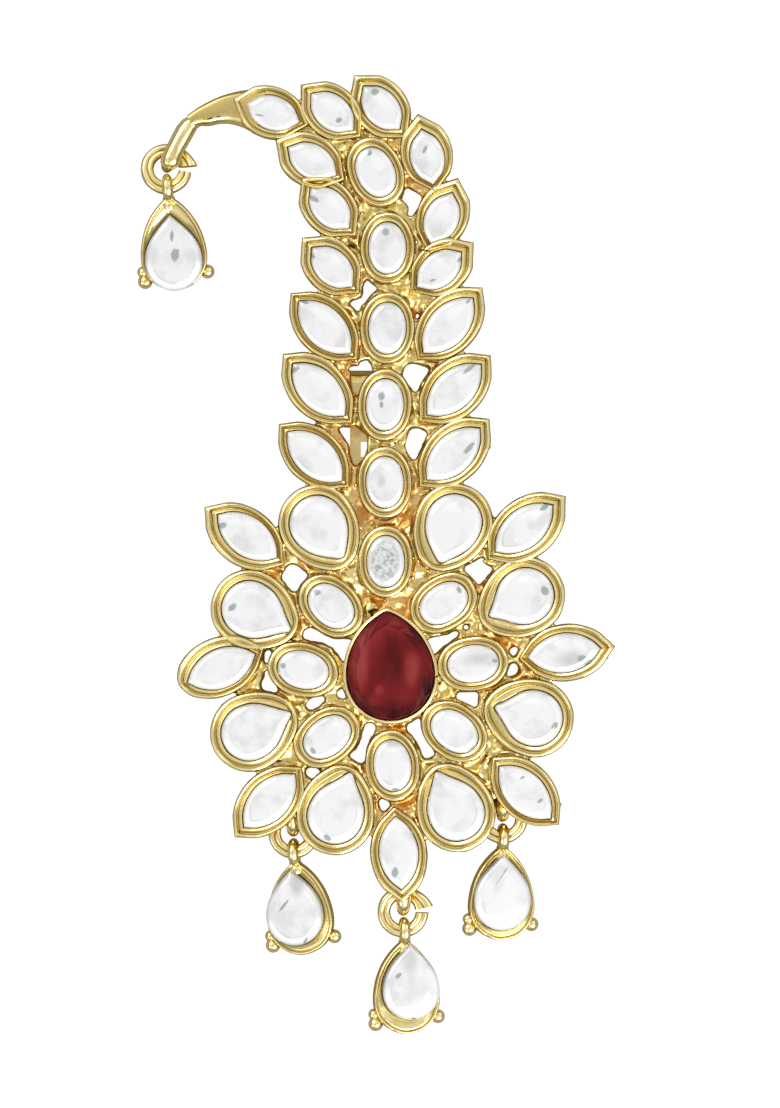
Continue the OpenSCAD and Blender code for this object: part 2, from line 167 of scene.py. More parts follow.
# Painted shadow in the gilding's dark nicks and pits: place and half sizes in pixels of the photograph,
# turn in degrees
PIT_SHADOWS = [
    (209, 119, 5, 0.8, 12), (218, 117, 2.5, 0.6, 10), (371, 613, 4.5, 2.6, -60),
    (374, 610.5, 4.0, 2.2, 5), (395, 443, 1.6, 1.4, 0), (382, 443, 1.8, 0.8, 0), (437, 676, 1.6, 1.4, 0),
    (440, 683, 1.4, 1.2, 0), (424, 250.5, 5, 1.2, -8), (351, 246, 4.5, 2.0, -30), (279, 761, 4, 1.4, 10),
    (486, 756, 1.4, 2.0, 0),
]

# Places of the web where painted shade makes the gilding deepest brown, likewise
DEEPEST_SHADE = [
    (362, 514, 10, 17, 0), (410, 519, 10, 17, 0), (386, 521, 20, 7, 0), (374, 599, 12, 7, -30),
    (395, 727, 11, 6, 0), (381, 803, 6, 8, 20), (404, 806, 7, 9, 0), (507, 645, 11, 6, -10),
    (526, 672, 9, 7, 0), (356, 430, 10, 7, 0), (330, 400, 12, 6, 20),
]

# Spots where the foil has gone, from the crest down: place and half sizes in mm, turn in degrees
MARKS = [
    (-0.2, 55.4, 0.45, 0.4, 0), (-4.5, 52.0, 0.4, 0.3, 40), (-14.0, 52.6, 0.5, 0.12, -10),
    (-0.8, 48.1, 0.33, 0.25, 60), (5.8, 48.5, 0.5, 0.22, 60), (-7.5, 42.6, 0.6, 0.3, -30),
    (1.1, 38.6, 0.4, 0.4, 0), (-7.7, 35.8, 0.45, 0.2, -45), (10.1, 35.4, 0.5, 0.2, 40),
    (6.7, 32.8, 0.35, 0.15, 20), (-8.6, 30.2, 0.45, 0.2, -20), (11.0, 30.3, 0.35, 0.15, 45),
    (-9.8, 22.1, 0.6, 0.28, 35), (11.1, 22.2, 0.85, 0.25, 38), (0.6, 18.9, 0.5, 0.4, 90),
    (0.6, 17.9, 0.4, 0.22, 90), (11.1, 12.7, 0.88, 0.28, 48), (-18.5, 3.4, 0.5, 0.35, 20),
    (20.1, 5.6, 0.55, 0.3, 35), (1.0, -0.9, 2.7, 1.8, 90), (-7.1, -4.6, 0.42, 0.35, 0),
    (9.9, -4.3, 0.4, 0.25, -60), (20.2, -4.4, 0.6, 0.45, -60), (-17.3, -6.4, 0.55, 0.35, 45),
    (14.2, -12.8, 0.3, 0.26, 0), (24.9, -12.7, 0.85, 0.5, -20), (27.4, -11.7, 1.3, 0.8, -20),
    (-11.2, -13.4, 0.34, 0.32, 0), (21.4, -20.6, 0.5, 0.3, 50), (11.3, -23.2, 0.45, 0.2, 40),
    (2.3, -28.2, 0.4, 0.2, 0), (-7.6, -23.6, 0.42, 0.28, -55), (17.5, -26.8, 0.3, 0.15, 30),
    (19.6, -29.6, 0.4, 0.2, 30), (-5.9, -34.0, 0.5, 0.3, -30), (10.0, -34.7, 0.55, 0.3, 50),
    (2.2, -38.2, 0.6, 0.4, 80), (-24.6, 38.4, 0.6, 0.22, 85), (-24.2, 36.1, 0.75, 0.5, 80),
    (-10.9, -42.2, 0.85, 0.18, 52), (-8.3, -46.4, 0.5, 0.14, 60), (4.3, -56.0, 0.4, 0.3, 0),
    (2.4, -50.6, 0.45, 0.25, 45), (14.8, -38.6, 1.5, 0.09, 55),
]

# Smooth grey shadings in the stones, likewise
SHADINGS = [
    (0.6, 8.7, 0.9, 0.6, 80), (12.2, -12.4, 1.8, 1.1, 0), (23.4, -12.7, 2.4, 1.3, 0),
    (2.0, -22.5, 1.5, 0.8, 0), (-9.3, -39.5, 1.9, 1.1, 90), (3.8, -48.8, 2.2, 1.2, 90),
]

# Names of the values that carry one stone's two spots and its shading
MARK_LABELS = ("mark_a", "mark_b", "shading")

# Painted reflections and shade inside the red stone, lighter and darker places: pixel of the photograph,
# half sizes in mm, level
RED_TONES = [
    (360, 660, 1.1, 3.8, 0.5), (411, 668, 0.9, 2.2, 0.35), (379, 690, 0.6, 0.7, 0.3),
    (392, 622, 1.6, 1.2, 0.2), (392, 662, 1.2, 3.5, -0.16), (412, 643, 1.1, 1.5, -0.16),
    (425, 690, 1.2, 2.4, -0.2), (395, 710, 2.6, 1.2, -0.2), (372, 632, 1.4, 2.0, 0.12),
    (374, 700, 0.8, 0.8, 0.15),
]

# Place of the flower's middle, in mm
FLOWER = (1.5, -13.7)

# Spans of X and Y that hold the web, and the size of its cells, in mm
WEB_X = (-24.0, 28.0)
WEB_Y = (-40.0, 58.0)
CELL = 0.16

# How deep the cups' feet reach into the web in mm, and the detail of the casting in metres
FOOT_DEPTH = 0.35
VOXEL = 0.00022

# Unevenness of the casting: size and depth of its lumps in mm
CASTING_LUMPS = [(1.5, 0.06), (0.6, 0.04)]

# Fill between the cups: height above the web, how much its lumps change that, and their sizes, in mm
FILL = 0.3
FILL_CHANGE = 0.6
FILL_LUMPS = (1.5, 0.6)

# The hook arm's outer and inner edges: middle of the circle, radius, first and last bearing in degrees
ARM_OUTER = (-13.7, 41.5, 14.35, 88, 129.3)
ARM_INNER = (-18.2, 46.3, 5.4, 48.7, 129)

# The hook's rounded finger: pixel of the photograph and radius in mm
ROD = [
    (199, 119.5, 0.75), (193.5, 121.5, 0.92), (189, 125, 1.08), (185, 130.5, 1.16), (181, 137.5, 1.16),
    (177, 145, 1.12), (173.5, 152, 1.12), (171, 158, 1.2), (169.8, 163, 1.2), (169.2, 166.5, 0.95),
    (169, 169, 0.45),
]

# Height of the finger's middle above the frame's back, in mm
ROD_HEIGHT = 1.05

# The frame's eyes: x, y in mm, lean of the drop and turn of the eye in degrees
EYES = [
    (-25.5, 48.6, 5, -27), (-10.2, -31.3, 5, 0), (3.1, -40.8, 2, -5), (15.2, -29.5, -1, 0),
]

# Radius of such an eye and of its wire, how much longer than round it is, and its middle's height, in mm
EYE = 1.48
EYE_WIRE = 0.6
EYE_LONGER = 0.6
EYE_HEIGHT = 2.1

DROPS = ["hook_drop", "left_drop", "middle_drop", "right_drop"]

# Radius of a jump ring in mm, and how far each drop's ring stands out and up at its first end
RING = 2.3
RING_FLARES = [(0.55, 0.35), (0.1, 0.1), (0.5, 0.35), (0.1, 0.1)]

# Degrees that a split ring runs through, and those that its flared end takes up
RING_RUN = 346
FLARE_RUN = 70

# How far a drop's round end lies from its eye, the radius of that eye, how far its top lies from its
# middle, the radius of its wire, and the width of the setting's rim, in mm
DROP_REACH = 12.4
DROP_EYE = 1.2
DROP_EYE_TOP = 1.6
DROP_WIRE = 0.44
DROP_RIM = 0.55

# Balls at a drop's round end: x, y, z and radius in mm from the drop's eye
BALLS = [
    (-3.9, -9.9, -0.2, 0.72), (-3.75, -11.05, -0.25, 0.9), (3.85, -10.5, -0.25, 0.86),
    (3.3, -10.0, 0.1, 0.48),
]

# Neck of a drop: x, y and z from its eye and radius in mm
NECK = [
    (0, -0.85, 0.45, 0.3), (0, -1.0, 0.45, 0.6), (0, -1.25, 0.4, 0.78), (0, -1.5, 0.35, 0.62),
    (0, -1.7, 0.35, 0.72), (0, -2.0, 0.3, 0.86), (0, -2.5, 0.25, 0.8),
]

# Cup section from the underside over the rim to the pocket: share of the way from the stone to the
# cup's edge, height in mm above the frame's back, and its gilding, from 0 bright over 1 duller with
# painted shade to 2 dark painted shade in the grooves and on steep walls
CUP_SECTION = [
    (0.80, 0.0, 0.0), (0.95, 0.06, 0.0), (1.0, 0.3, 0.5), (1.0, 1.2, 1.0), (1.0, 1.85, 2.0),
    (0.98, 2.15, 1.8), (0.945, 2.4, 0.5), (0.89, 2.54, 0.0), (0.82, 2.6, 0.0), (0.74, 2.59, 0.0),
    (0.66, 2.53, 0.25), (0.57, 2.44, 0.35), (0.49, 2.32, 0.8), (0.42, 2.14, 1.8), (0.37, 2.02, 1.7),
    (0.31, 1.98, 0.9), (0.22, 2.0, 0.4), (0.13, 2.05, 0.2), (0.07, 2.07, 0.6), (0.02, 2.0, 1.6),
    (-0.01, 1.9, 2.0), (-0.01, 1.22, 2.0),
]

# The same for the red stone's cup, and for the feet that the cups have in the casting
RED_SECTION = [
    (0.7, 0.0, 0), (1.0, 0.2, 0), (1.0, 1.6, 0), (1.0, 2.9, 0), (0.93, 3.2, 0), (0.75, 3.3, 0),
    (0.5, 3.27, 0), (0.25, 3.17, 0.2), (0.06, 3.02, 0.5), (0.0, 2.8, 1.4), (0.0, 1.22, 2),
]

FOOT_SECTION = [(0.86, 0.02, 0), (0.97, 0.14, 0), (0.97, 1.7, 0), (0.4, 1.7, 0)]
RED_FOOT_SECTION = [(0.9, 0.02, 0), (1.0, 0.14, 0), (1.0, 2.4, 0), (0.2, 2.4, 0)]

# Share of a pear cup's section that is its rim, and the rim's width in mm
RIM_SHARE = 0.5
RIM_WIDTH = 0.62

# Arm's section: share of the way from its outer to its inner edge, height in mm, and its gilding with its
# painted shade, as for the cups
ARM_SECTION = [
    (0.05, 0.05, 1.0), (0.0, 0.35, 1.2), (0.0, 1.45, 1.6), (0.025, 1.8, 1.6), (0.06, 2.0, 0.9),
    (0.12, 2.1, 0.8), (0.25, 2.15, 0.75), (0.4, 2.17, 0.8), (0.6, 2.16, 0.75), (0.76, 2.1, 0.8),
    (0.82, 2.04, 0.2), (0.86, 1.98, 0.0), (0.9, 1.86, 1.6), (0.93, 1.8, 1.4), (0.96, 1.72, 0.0),
    (0.99, 1.5, 0.3), (1.0, 1.2, 1.2), (1.0, 0.35, 1.0), (0.95, 0.05, 1.0), (0.5, 0.0, 1.0),
]

# White stone from its foot to its table: share of its outline, height above its foot as a share of the
# whole, and the grey of its painted shade and painted reflection lines on the side nearest the drops and on
# the side nearest the crest, below nought a paler painted highlight
STONE_SECTION = [
    (0.985, 0.0, 1.0, 1.0), (0.985, 0.5, 0.8, 1.0), (0.975, 0.66, 0.3, 0.9), (0.94, 0.77, -0.4, 0.5),
    (0.85, 0.86, -0.7, 0.25), (0.76, 0.915, -0.4, 0.15), (0.735, 0.93, 0.6, 0.3), (0.71, 0.94, 0.5, 0.25),
    (0.66, 0.955, 0.05, 0.05), (0.6, 0.97, 0.0, 0.0), (0.4, 0.985, 0.0, 0.0), (0.2, 0.995, 0.0, 0.0),
]

# Section of a drop's setting from its back over its rim to its stone, as for the cups, with heights from
# its eye. Below the seat the share tells how far the outline is drawn in, in mm under 1.
DROP_SECTION = [
    (0.1, -1.3, 1.0), (0.27, -1.28, 0.5), (0.5, -1.1, 0.3), (0.8, -0.75, 0.3), (1.0, -0.4, 0.8),
    (1.0, 0.1, 1.2), (1.0, 0.55, 1.5), (0.97, 0.8, 0.8), (0.91, 0.95, 0.0), (0.83, 1.0, 0.0),
    (0.75, 0.97, 0.0), (0.68, 0.88, 0.4), (0.62, 0.76, 1.5), (0.57, 0.75, 1.2), (0.52, 0.8, 0.2),
    (0.44, 0.82, 0.0), (0.34, 0.76, 0.1), (0.22, 0.7, 0.3), (0.1, 0.66, 0.6), (0.03, 0.63, 1.3),
    (0.0, 0.6, 2.0),
]

# Jump ring's section from its middle line: out and up, in mm, and its gilding as for the cups
BAND_SECTION = [
    (-0.76, -0.3, 0.8), (-0.76, 0.25, 0.8), (-0.64, 0.5, 0.0), (-0.4, 0.6, 0.0), (-0.16, 0.57, 0.3),
    (-0.07, 0.46, 1.9), (0.03, 0.47, 1.8), (0.12, 0.58, 0.2), (0.42, 0.6, 0.0), (0.64, 0.48, 0.0),
    (0.76, 0.25, 0.6), (0.76, -0.3, 1.0), (0.6, -0.52, 1.0), (0.3, -0.6, 1.0), (-0.3, -0.6, 1.0),
    (-0.6, -0.52, 1.0),
]

# Soft boxes in the sky: direction, half width in degrees and brightness
SOFT_BOXES = [
    ((-0.5, 0.55, 0.62), 22, 1.7), ((0.62, -0.5, 0.6), 19, 1.3), ((0.65, 0.6, 0.5), 13, 1.1),
    ((-0.75, -0.5, 0.55), 14, 1.2), ((0.05, 0.2, 0.9), 8, 0.5),
]

# Brightness of the sky by height, its two ends first
SKY_LEVELS = [(0.0, 0.18), (1.0, 0.56), (0.15, 0.2), (0.35, 0.42), (0.6, 0.86), (0.85, 0.84), (0.95, 0.62)]

# Most triangles that the casting keeps
MOST_TRIANGLES = 190000

# Place in mm that the camera looks straight down at
SEEN = (1.62, 0.0, 4.5)


def length_setting(name, text, value):
    return bpy.props.FloatProperty(name=name, description=text, default=value, unit="LENGTH")


def amount_setting(name, text, value):
    return bpy.props.FloatProperty(name=name, description=text, default=value)


def colour_setting(name, text, value):
    given = {"name": name, "description": text, "default": value}
    return bpy.props.FloatVectorProperty(**given, subtype="COLOR", size=3)


class OrnamentMetal(bpy.types.PropertyGroup):
    """Sizes and colours of the gilt metal."""

    web_height: length_setting("Web height", "Thickness of the web between the cups", 0.0012)
    leaf_rim: length_setting("Leaf rim", "Width of the rim round a leaf stone", 0.00105)
    gilt: colour_setting("Gilt", "Colour of the polished gilding", (0.90, 0.77, 0.385))
    # The recess, inner slope and fine line colours carry painted shade: in the recesses, on the duller
    # inner slopes, and in the grooves and on steep walls
    shade: colour_setting("Recess", "Colour of the gilding deep between the cups", (0.60, 0.29, 0.07))
    olive: colour_setting("Inner slope", "Colour of the duller gilding inside a cup", (0.60, 0.47, 0.17))
    line: colour_setting("Fine line", "Colour of the gilding in the narrow grooves", (0.30, 0.19, 0.035))


class OrnamentStones(bpy.types.PropertyGroup):
    """Colours of the stones."""

    white: colour_setting("White stone", "Colour of the white stones over their foil", (0.69, 0.685, 0.69))
    # This colour paints the lost spots and also the grey shadings in the stones, which are painted shade
    blemish_and_shade: colour_setting("Blemish", "Colour of the spots where the foil has gone", (0.22, 0.27, 0.24))
    red: colour_setting("Red stone", "Colour of the red stone", (0.15, 0.010, 0.012))


class OrnamentStage(bpy.types.PropertyGroup):
    """Floor, light and camera."""

    frame_height: length_setting("Framed height", "Height that the picture shows", 0.133)
    lens: amount_setting("Lens", "Focal length in millimetres", 200.0)
    sky: amount_setting("Sky", "Strength of the light from all round", 1.07)
    floor_glow: amount_setting("Floor glow", "Light that the floor gives the metal's sides", 0.25)
    floor: colour_setting("Floor", "Colour of the floor", (0.16, 0.16, 0.16))


# Outlines, in mm


def seen_at(px, py):
    """Place in mm under a pixel of the photograph."""
    return (px - MIDDLE[0]) * PIXEL, (MIDDLE[1] - py) * PIXEL


def at_height(flat, height):
    """Flat corners lifted to a height."""
    return np.column_stack([flat, np.full(len(flat), height)])


def spread(path, count):
    """Corners spread evenly along an open path, its two ends among them."""
    path = np.asarray(path, float)
    steps = np.linalg.norm(np.diff(path, axis=0), axis=1)
    at = np.concatenate([[0], np.cumsum(steps)])
    want = np.linspace(0, at[-1], count + 1)
    return np.column_stack([np.interp(want, at, path[:, k]) for k in range(path.shape[1])])


def leaf_outline(length, width):
    """Outline of a leaf with a sharp tip at each end of X."""
    r = (length**2 + width**2) / (4 * width)
    turn = 2 * TIP - 2 * math.atan2(width, length)
    t = np.linspace(math.pi / 2 - turn, math.pi / 2 + turn, 80)
    arc = np.column_stack([r * np.cos(t), r * np.sin(t) + width / 2 - r])
    flank = spread([[length / 2, 0], *arc, [-length / 2, 0]], HALF)[:-1]
    return np.vstack([flank, -flank])


def oval_outline(length, width):
    """Outline of a slightly full oval, long along X."""
    t = np.linspace(0, 2 * math.pi, ROUND, endpoint=False)
    x = np.sign(np.cos(t)) * np.abs(np.cos(t)) ** 0.95 * length / 2
    y = np.sign(np.sin(t)) * np.abs(np.sin(t)) ** 0.95 * width / 2
    return np.column_stack([x, y])


def bent(a, b, c, d, count):
    """Corners of a curve from a to d that leaves towards b and arrives from c."""
    t = np.linspace(0, 1, count)[:, None]
    a, b, c, d = (np.asarray(p, float) for p in (a, b, c, d))
    return a * (1 - t) ** 3 + 3 * b * t * (1 - t) ** 2 + 3 * c * t * t * (1 - t) + d * t**3


def with_round_end(side, middle, radius):
    """Closed outline of a side from the tip to a round end, that end, and the same mirrored."""
    t = np.linspace(math.pi / 2, 0, 40)[1:]
    end = np.column_stack([middle + radius * np.cos(t), radius * np.sin(t)])
    flank = spread(np.vstack([side, end]), HALF)
    return np.vstack([flank, flank[::-1][1:-1] * [1, -1]])


def pear_outline(length, width, tip, waist):
    """Outline of a pear, its tip at the low end of X, from half of the tip's angle and its hollow."""
    b = width / 2
    x0 = length / 2 - b
    run = x0 + length / 2
    a = math.radians(tip)
    low = [-length / 2, 0]
    toward = [low[0] + waist * run * math.cos(a), waist * run * math.sin(a)]
    return with_round_end(bent(low, toward, [x0 - 0.5 * run, b], [x0, b], 60), x0, b)


def eased(outline, reach, times):
    """The outline with its tip, at corner 0, rounded off."""
    out = outline.copy()
    near = [i % ROUND for i in range(-reach, reach + 1)]
    for _ in range(times):
        out[near] = (np.roll(out, 1, axis=0)[near] + np.roll(out, -1, axis=0)[near]) / 2
    return out


def egg_outline(length, width, grown=0.0):
    """Outline of a cup round a pear: the round end of a circle and two arcs to a blunt tip."""
    b = width / 2
    x0 = length / 2 - b
    half = length - b
    r = (4 * half**2 + width**2) / (4 * width)
    t = np.linspace(math.atan2(r - b, -half), math.pi / 2, 60)
    side = np.column_stack([x0 + (r + grown) * np.cos(t), (r + grown) * np.sin(t) - r + b])
    tip = x0 - math.sqrt((r + grown) ** 2 - (r - b) ** 2)
    return with_round_end(np.vstack([[tip, 0], side[side[:, 1] > 0]]), x0, b + grown)


# Meshes


def linked(name, data):
    """A new object in the scene."""
    piece = bpy.data.objects.new(name, data)
    bpy.context.scene.collection.objects.link(piece)
    return piece


def store(mesh, values):
    """Gives a mesh its named values, a number or three for each corner."""
    for label, numbers in values.items():
        numbers = np.asarray(numbers, float)
        kind, key = ("FLOAT", "value") if numbers.ndim == 1 else ("FLOAT_VECTOR", "vector")
        mesh.attributes.new(label, kind, "POINT").data.foreach_set(key, numbers.ravel())


def numbers_of(rows, key, width=1):
    """One value of each of a mesh's rows, as an array."""
    out = np.zeros(len(rows) * width)
    rows.foreach_get(key, out)
    return out if width == 1 else out.reshape(-1, width)


def made(name, verts, faces, material, smooth=True, sharp=None, values=None):
    """A new mesh object from corners in mm, with its faces' sides pointing out."""
    mesh = bpy.data.meshes.new(name)
    mesh.from_pydata((np.asarray(verts, float) * MM).tolist(), [], faces)
    store(mesh, values or {})
    if smooth:
        mesh.shade_smooth()
    else:
        mesh.shade_flat()
    if sharp is not None:
        mesh.set_sharp_from_angle(angle=math.radians(sharp))
    mesh.materials.append(material)
    return linked(name, mesh)


def loft(rings):
    """Corners and faces of closed rings joined one after another and capped at both ends."""
    n = len(rings[0])
    verts = np.vstack(rings + [rings[0].mean(0)[None], rings[-1].mean(0)[None]])
    first = len(rings) * n
    faces = []
    for a in range(0, first - n, n):
        for i in range(n):
            j = (i + 1) % n
            faces.append((a + i, a + j, a + n + j, a + n + i))
    for i in range(n):
        j = (i + 1) % n
        faces.append((first, j, i))
        faces.append((first + 1, first - n + i, first - n + j))
    return verts, outward(verts, faces)


def outward(verts, faces):
    """The faces, turned to point out of the solid that they close."""
    threes = np.array([(f[0], a, b) for f in faces for a, b in zip(f[1:-1], f[2:])])
    a, b, c = (verts[threes[:, k]] - verts[0] for k in range(3))
    return faces if (a * np.cross(b, c)).sum() > 0 else [f[::-1] for f in faces]


def lofted(name, rings, inner, material, sharp):
    """A piece from closed rings, with the gilding's dullness and painted shade at each corner."""
    verts, faces = loft(rings)
    return made(name, verts, faces, material, sharp=sharp, values={"inner": inner})


def gathered(parts):
    """Several sets of corners and faces as one."""
    verts, faces, at = [], [], 0
    for v, f in parts:
        verts.append(v)
        faces.extend(tuple(i + at for i in face) for face in f)
        at += len(v)
    return np.vstack(verts), faces


def placed(points, place):
    """Points in a piece's own millimetres, moved to its place."""
    return points @ place["axes"] + place["at"]


def uneven(points, size, depth):
    """The same points, each pushed about smoothly as hand-finished casting is."""
    out = np.array(points, float)
    for i, p in enumerate(points):
        out[i] += np.array(noise.noise_vector(Vector(p) / size)) * depth
    return out


def joined(name, pieces, sharp):
    """The pieces as one object."""
    first = pieces[0]
    with bpy.context.temp_override(active_object=first, selected_editable_objects=pieces):
        bpy.ops.object.join()
    first.name = name
    first.data.name = name
    while len(first.data.materials) > 1:
        first.data.materials.pop()
    first.data.shade_smooth()
    first.data.set_sharp_from_angle(angle=math.radians(sharp))
    return first


def modify(piece, name, kind, **settings):
    """Gives a piece a modifier."""
    mod = piece.modifiers.new(name, kind)
    for key, value in settings.items():
        setattr(mod, key, value)
    return mod


def evaluated(piece):
    """A new mesh of a piece with its modifiers taken in, which it then loses."""
    bpy.context.view_layer.update()
    graph = bpy.context.evaluated_depsgraph_get()
    mesh = bpy.data.meshes.new_from_object(piece.evaluated_get(graph), depsgraph=graph)
    piece.modifiers.clear()
    return mesh


# Places of the stones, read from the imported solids


def lumps(node):
    """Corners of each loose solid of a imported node, in mm, with its largest upward face's direction."""
    bm = bmesh.new()
    bm.from_mesh(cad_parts[node].data)
    bmesh.ops.remove_doubles(bm, verts=bm.verts, dist=1e-6)
    left = set(bm.verts)
    found = []
    while left:
        todo = [left.pop()]
        part = set(todo)
        while todo:
            v = todo.pop()
            for e in v.link_edges:
                w = e.other_vert(v)
                if w not in part:
                    part.add(w)
                    left.discard(w)
                    todo.append(w)
        areas = {}
        for face in bm.faces:
            if face.verts[0] in part and face.normal.z > 0.3:
                key = tuple(round(c, 2) for c in face.normal)
                area, total = areas.get(key, (0.0, Vector()))
                areas[key] = (area + face.calc_area(), total + face.normal * face.calc_area())
        up = max(areas.values(), key=lambda a: a[0])[1].normalized() if areas else Vector((0, 0, 1))
        found.append((np.array([v.co[:] for v in part]) / MM, np.array(up)))
    bm.free()
    return found


def stone_place(points, up):
    """Place and size of a flat stone. X runs along it, a pear's tip at its low end."""
    flat = points - np.outer(points @ up, up)
    spans = np.linalg.norm(flat[:, None] - flat[None], axis=2)
    i, j = np.unravel_index(spans.argmax(), spans.shape)
    middle = (flat[i] + flat[j]) / 2
    along = (flat[j] - flat[i]) / spans[i, j]
    if ((flat - middle) @ along).mean() < 0:
        along = -along
    across = np.cross(up, along)
    low, high = (points @ up).min(), (points @ up).max()
    return {
        "axes": np.array([along, across, up]),
        "at": middle + up * low,
        "length": spans[i, j],
        "width": np.ptp(flat @ across),
        "tall": high - low,
    }


def places(node, way=None):
    """Places of a node's stones, from its highest down, facing a way or out from the flower's middle."""
    found = []
    for points, up in lumps(node):
        place = stone_place(points, up)
        if way is not None:
            toward = place["at"][:2] - np.array(FLOWER) if way == "out" else np.array(way)
            if place["axes"][0][:2] @ toward < 0:
                place["axes"] = place["axes"] * np.array([[-1], [-1], [1]])
        found.append(place)
    return sorted(found, key=lambda p: -p["at"][1])


def leaf_place(i):
    return places(f"leaf_stone_{i + 1}", (0, 1))[0]


def petal_place(i):
    return places(f"petal_stone_{i + 1}", "out")[0]


def solid_pear_place(i):
    return places(f"pear_stone_{i + 1}")[0]


def red_place():
    return places("red_stone")[0]


def pear_place(i):
    """Place of a white pear stone, drawn out and turned about its round end."""
    longer, turn, _ = PEARS[i]
    place = solid_pear_place(i)
    spin = np.array(Matrix.Rotation(math.radians(turn), 3, Vector(place["axes"][2])))
    back = (place["length"] - place["width"]) / 2
    pivot = place["at"] + place["axes"][0] * back
    place["axes"] = place["axes"] @ spin.T
    place["at"] = pivot - place["axes"][0] * (back + longer / 2)
    place["length"] += longer
    return place


def back_height():
    """Height of the frame's back above the floor, in mm."""
    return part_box("red_stone")[0].z / MM - CLEARANCE - bpy.context.scene.ornament_metal.web_height / MM


# Nodes


def feed(node, **inputs):
    """Sets a node's inputs by name, or links them to an output or to the first output of a node."""
    for key, value in inputs.items():
        plug(node.inputs[key.replace("_", " ")], value)
    return node


def plug(socket, value):
    """Sets one input, or links it to an output or to the first output of a node."""
    if isinstance(value, bpy.types.Node):
        value = value.outputs[0]
    if isinstance(value, bpy.types.NodeSocket):
        socket.id_data.links.new(value, socket)
    else:
        socket.default_value = value


def pair(node, a, b):
    """Feeds a node's first two inputs."""
    plug(node.inputs[0], a)
    plug(node.inputs[1], b)
    return node


def maker(tree):
    """A function that adds a node to a tree, with its settings and its inputs by name."""

    def add(kind, settings=None, **inputs):
        node = tree.nodes.new(kind)
        for key, value in (settings or {}).items():
            setattr(node, key, value)
        return feed(node, **inputs)

    return add


def node_tree(name, *sizes):
    """A geometry tree with named inputs, what it is given, and a maker of its nodes."""
    tree = bpy.data.node_groups.new(name, "GeometryNodeTree")
    for label, kind, value in (("Geometry", "Geometry", None), *sizes):
        socket = tree.interface.new_socket(label, in_out="INPUT", socket_type=f"NodeSocket{kind}")
        if value is not None:
            socket.default_value = value
    tree.interface.new_socket("Geometry", in_out="OUTPUT", socket_type="NodeSocketGeometry")
    return tree, tree.nodes.new("NodeGroupInput").outputs, maker(tree)


def closed_tree(tree, add, shape, material):
    """Ends a tree: instances made real, then the material."""
    real = add("GeometryNodeRealizeInstances", Geometry=shape)
    painted = add("GeometryNodeSetMaterial", Geometry=real, Material=material)
    feed(tree.nodes.new("NodeGroupOutput"), Geometry=painted)
    return tree


def grown(name, base, tree, values):
    """The plain mesh that a tree makes from a base object, which is then removed."""
    mod = modify(base, "Making", "NODES", node_group=tree)
    sockets = {s.name: s.identifier for s in tree.interface.items_tree if s.in_out == "INPUT"}
    for label, value in values.items():
        mod[sockets[label]] = value
    mesh = evaluated(base)
    mesh.name = name
    bpy.data.objects.remove(base)
    return linked(name, mesh)


def wires(name, material, paths, closed, radius, sides):
    """Round wires along paths of x, y, z and a share of the wire's radius, in mm."""
    curve = bpy.data.curves.new("path", "CURVE")
    curve.dimensions = "3D"
    for path in paths:
        line = curve.splines.new("POLY")
        line.points.add(len(path) - 1)
        for point, p in zip(line.points, path):
            point.co = (p[0] * MM, p[1] * MM, p[2] * MM, 1)
            point.radius = p[3]
        line.use_cyclic_u = closed
    base = linked("path", curve)
    return grown(name, base, wire_tree(material), {"Wire radius": radius * MM, "Sides": sides})


def points_object(points, values):
    """Loose points at places in mm, with their own values."""
    mesh = bpy.data.meshes.new("points")
    mesh.from_pydata([p * MM for p in points], [], [])
    store(mesh, values)
    return linked("points", mesh)


def wire_tree(material):
    """Round wire along each path, its thickness set by the path's own radius."""
    sizes = (("Wire radius", "Float", 0.0005), ("Sides", "Int", 20))
    tree, given, add = node_tree("Wire along a path", *sizes)
    circle = add("GeometryNodeCurvePrimitiveCircle", Resolution=given["Sides"], Radius=given["Wire radius"])
    radius = add("GeometryNodeInputRadius")
    swept = add("GeometryNodeCurveToMesh", Curve=given["Geometry"], Profile_Curve=circle, Scale=radius)
    return closed_tree(tree, add, feed(swept, Fill_Caps=True), material)


def point_value(add, name, kind):
    """A value that each point carries."""
    return add("GeometryNodeInputNamedAttribute", {"data_type": kind}, Name=name).outputs["Attribute"]


def stones_tree(material):
    """One cut stone repeated at each point, turned and sized by the point's own values."""
    tree, given, add = node_tree("Set stones", ("Stone", "Object", None))
    stone = add("GeometryNodeObjectInfo", {"transform_space": "ORIGINAL"}, Object=given["Stone"])
    stones = add(
        "GeometryNodeInstanceOnPoints",
        Points=given["Geometry"],
        Instance=stone.outputs["Geometry"],
        Rotation=point_value(add, "turn", "FLOAT_VECTOR"),
        Scale=point_value(add, "size", "FLOAT_VECTOR"),
    )
    return closed_tree(tree, add, stones, material)


def balls_tree(material):
    """A small ball at each point, as large as the point's own radius."""
    tree, given, add = node_tree("Balls", ("Rings", "Int", 12))
    ball = add("GeometryNodeMeshUVSphere", Segments=20, Rings=given["Rings"], Radius=1.0)
    size = point_value(add, "size", "FLOAT")
    balls = add("GeometryNodeInstanceOnPoints", Points=given["Geometry"], Instance=ball, Scale=size)
    return closed_tree(tree, add, add("GeometryNodeSetShadeSmooth", Geometry=balls), material)


